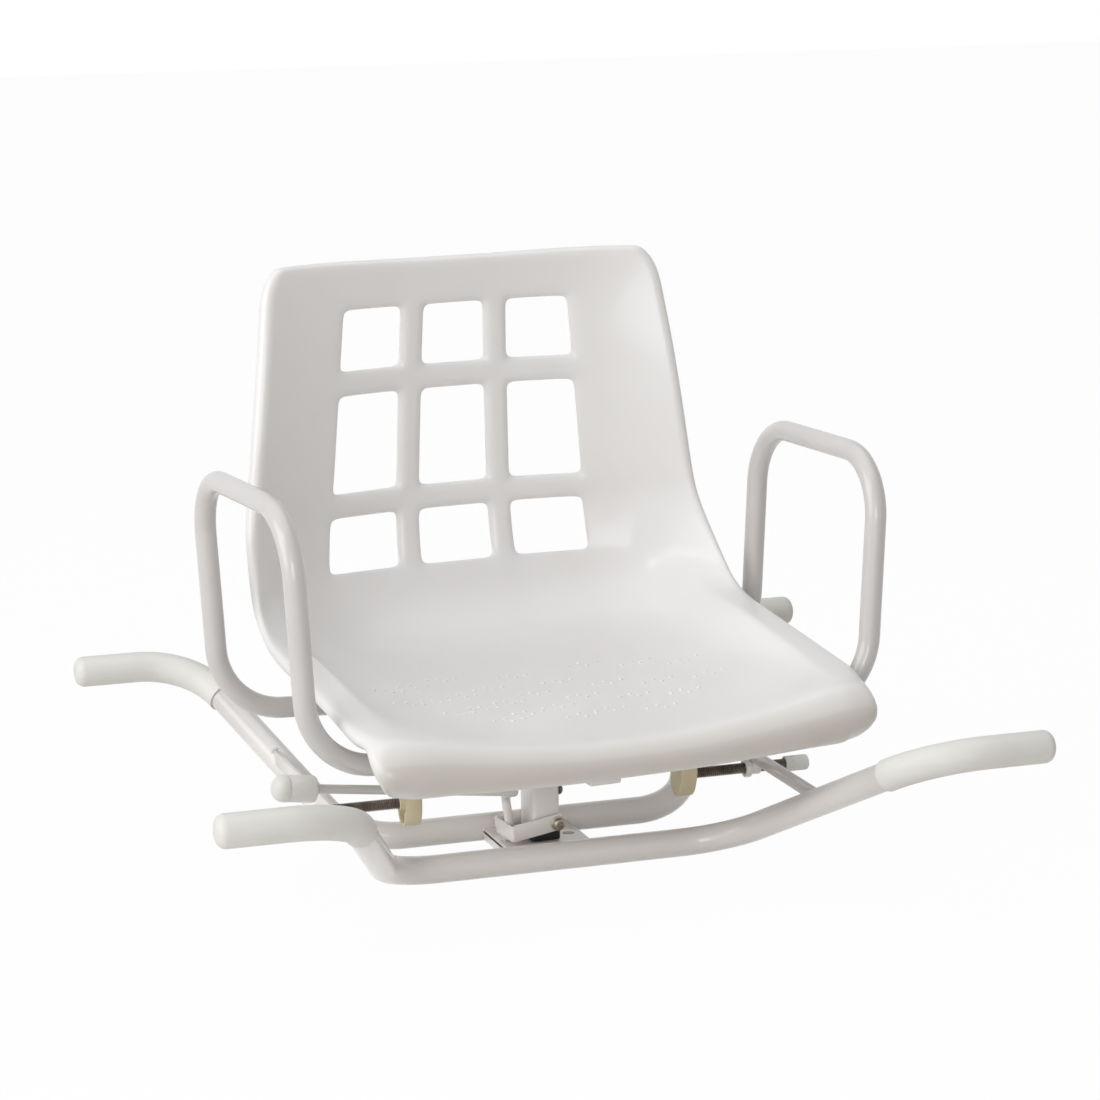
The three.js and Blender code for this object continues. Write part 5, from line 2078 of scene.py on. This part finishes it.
@dataclass
class Studio:
    """Camera, floor, surround and lamps, in degrees, metres and watts; the camera's are millimetres."""

    azimuth: float = -18.354
    elevation: float = 11.35
    roll: float = -0.82
    distance: float = 3086.574
    aim: tuple = (27.11, 42.231, 255.498)
    lens: float = 112.186
    sensor: float = 36.0
    far: float = 50.0
    floor_half: float = 12.0
    floor_z: float = -0.0005
    floor_white: float = 0.97
    lamp_aim: tuple = (0.0, 0.0, 0.25)
    lamp_colour: tuple = (0.97, 0.985, 1.0)
    lamps: tuple = (
        ("left", (-3.6, -0.5, 1.5), 3.0, 86.0),
        ("top", (0.0, 0.0, 3.2), 3.6, 51.0),
        ("front", (-1.0, -3.2, 0.5), 1.4, 32.0),
        ("spark", (-2.0, -1.4, 2.4), 0.5, 7.0),
    )
    soft: tuple = (1.0, 0.955, 0.9, 1.0)
    soft_strength: float = 0.27

    def build(self) -> None:
        """Sets the whole stage."""
        self.camera()
        self.floor()
        self.world()
        for name, place, size, power in self.lamps:
            self.lamp(name, place, size, power)
        bpy.context.scene.view_settings.view_transform = "Standard"

    def camera(self) -> None:
        """Puts the camera at the photograph's viewpoint."""
        a, e, r = (math.radians(v) for v in (self.azimuth, self.elevation, self.roll))
        back = Vector((math.sin(a) * math.cos(e), -math.cos(a) * math.cos(e), math.sin(e)))
        level = Vector((math.cos(a), math.sin(a), 0))
        up = back.cross(level)
        right = math.cos(r) * level + math.sin(r) * up
        over = -math.sin(r) * level + math.cos(r) * up
        place = (Vector(self.aim) + back * self.distance + Vector((0, 0, TUBE_LEVEL))) * MM
        data = bpy.data.cameras.new("camera")
        data.lens = self.lens
        data.sensor_width = self.sensor
        data.clip_end = self.far
        made = scene_object("camera", data)
        turn = Matrix((right, over, back)).transposed().to_4x4()
        made.matrix_world = Matrix.Translation(place) @ turn
        bpy.context.scene.camera = made

    def floor(self) -> None:
        """A plain pale floor that keeps a soft shadow."""
        mesh = bmesh.new()
        bmesh.ops.create_grid(mesh, x_segments=1, y_segments=1, size=self.floor_half)
        made = scene_object("floor", mesh_data("floor", mesh))
        made.location.z = self.floor_z
        made.data.materials.append(self.pale("floor_pale", self.floor_white))

    @staticmethod
    def pale(name: str, share: float) -> bpy.types.Material:
        """A matte white that shows as white to the camera and in reflections.

        Args:
            name: the material's name.
            share: how much of it is plain white there.

        Returns:
            The material.
        """
        shader = Shader(name)
        grain = shader.noise(60.0, 2.0)
        colour = shader.mix(grain, (0.78, 0.76, 0.73, 1.0), (0.82, 0.8, 0.77, 1.0))
        matte = shader.node("ShaderNodeBsdfDiffuse", {}, {"Color": colour})
        light = shader.node("ShaderNodeEmission", {}, {"Color": (1, 1, 1, 1), "Strength": 1.0})
        amount = shader.plainly_seen() * share
        both = shader.node("ShaderNodeMixShader", {}, {0: amount, 1: matte, 2: light})
        shader.node_output(both)
        return shader.material

    def world(self) -> None:
        """A surround that is white where it is seen, and lights the scene softly and a little warmly."""
        world = bpy.data.worlds.new("surround")
        world.use_nodes = True
        world.node_tree.nodes.clear()
        shader = Shader("surround", world.node_tree)
        seen = shader.plainly_seen()
        lighting = {"Color": self.soft, "Strength": self.soft_strength}
        soft = shader.node("ShaderNodeBackground", {}, lighting)
        white = shader.node("ShaderNodeBackground", {}, {"Color": (1.0, 1.0, 1.0, 1.0), "Strength": 1.0})
        both = shader.node("ShaderNodeMixShader", {}, {0: seen, 1: soft, 2: white})
        shader.node_output(both, "ShaderNodeOutputWorld")
        bpy.context.scene.world = world

    def lamp(self, name: str, place: tuple, size: float, power: float) -> None:
        """Adds one soft square lamp aimed at the seat.

        Args:
            name: the lamp's name.
            place: where it hangs, in metres.
            size: its side, in metres.
            power: its power in watts.
        """
        data = bpy.data.lights.new(name, "AREA")
        data.shape = "SQUARE"
        data.size = size
        data.energy = power
        data.color = self.lamp_colour
        made = scene_object(name, data)
        made.location = place
        aim = Vector(self.lamp_aim) - Vector(place)
        made.rotation_euler = aim.to_track_quat("-Z", "Y").to_euler()


def main() -> None:
    """Builds the whole scene in order."""
    logging.basicConfig(level=logging.INFO, format="%(name)s: %(message)s")
    Studio().build()
    palette = Palette()
    palette.dress_solids()
    workshop = Workshop(palette)
    TubeFrame(workshop).build()
    BucketSeat(workshop).build()
    Armrests(workshop).build()
    SwivelColumn(workshop).build()
    LockLever(workshop).build()
    Clamp(workshop, Side.LEFT, 113.5, 0.0).build()
    Clamp(workshop, Side.RIGHT, 130.5, 20.0).build()


if __name__ == "__main__":
    main()
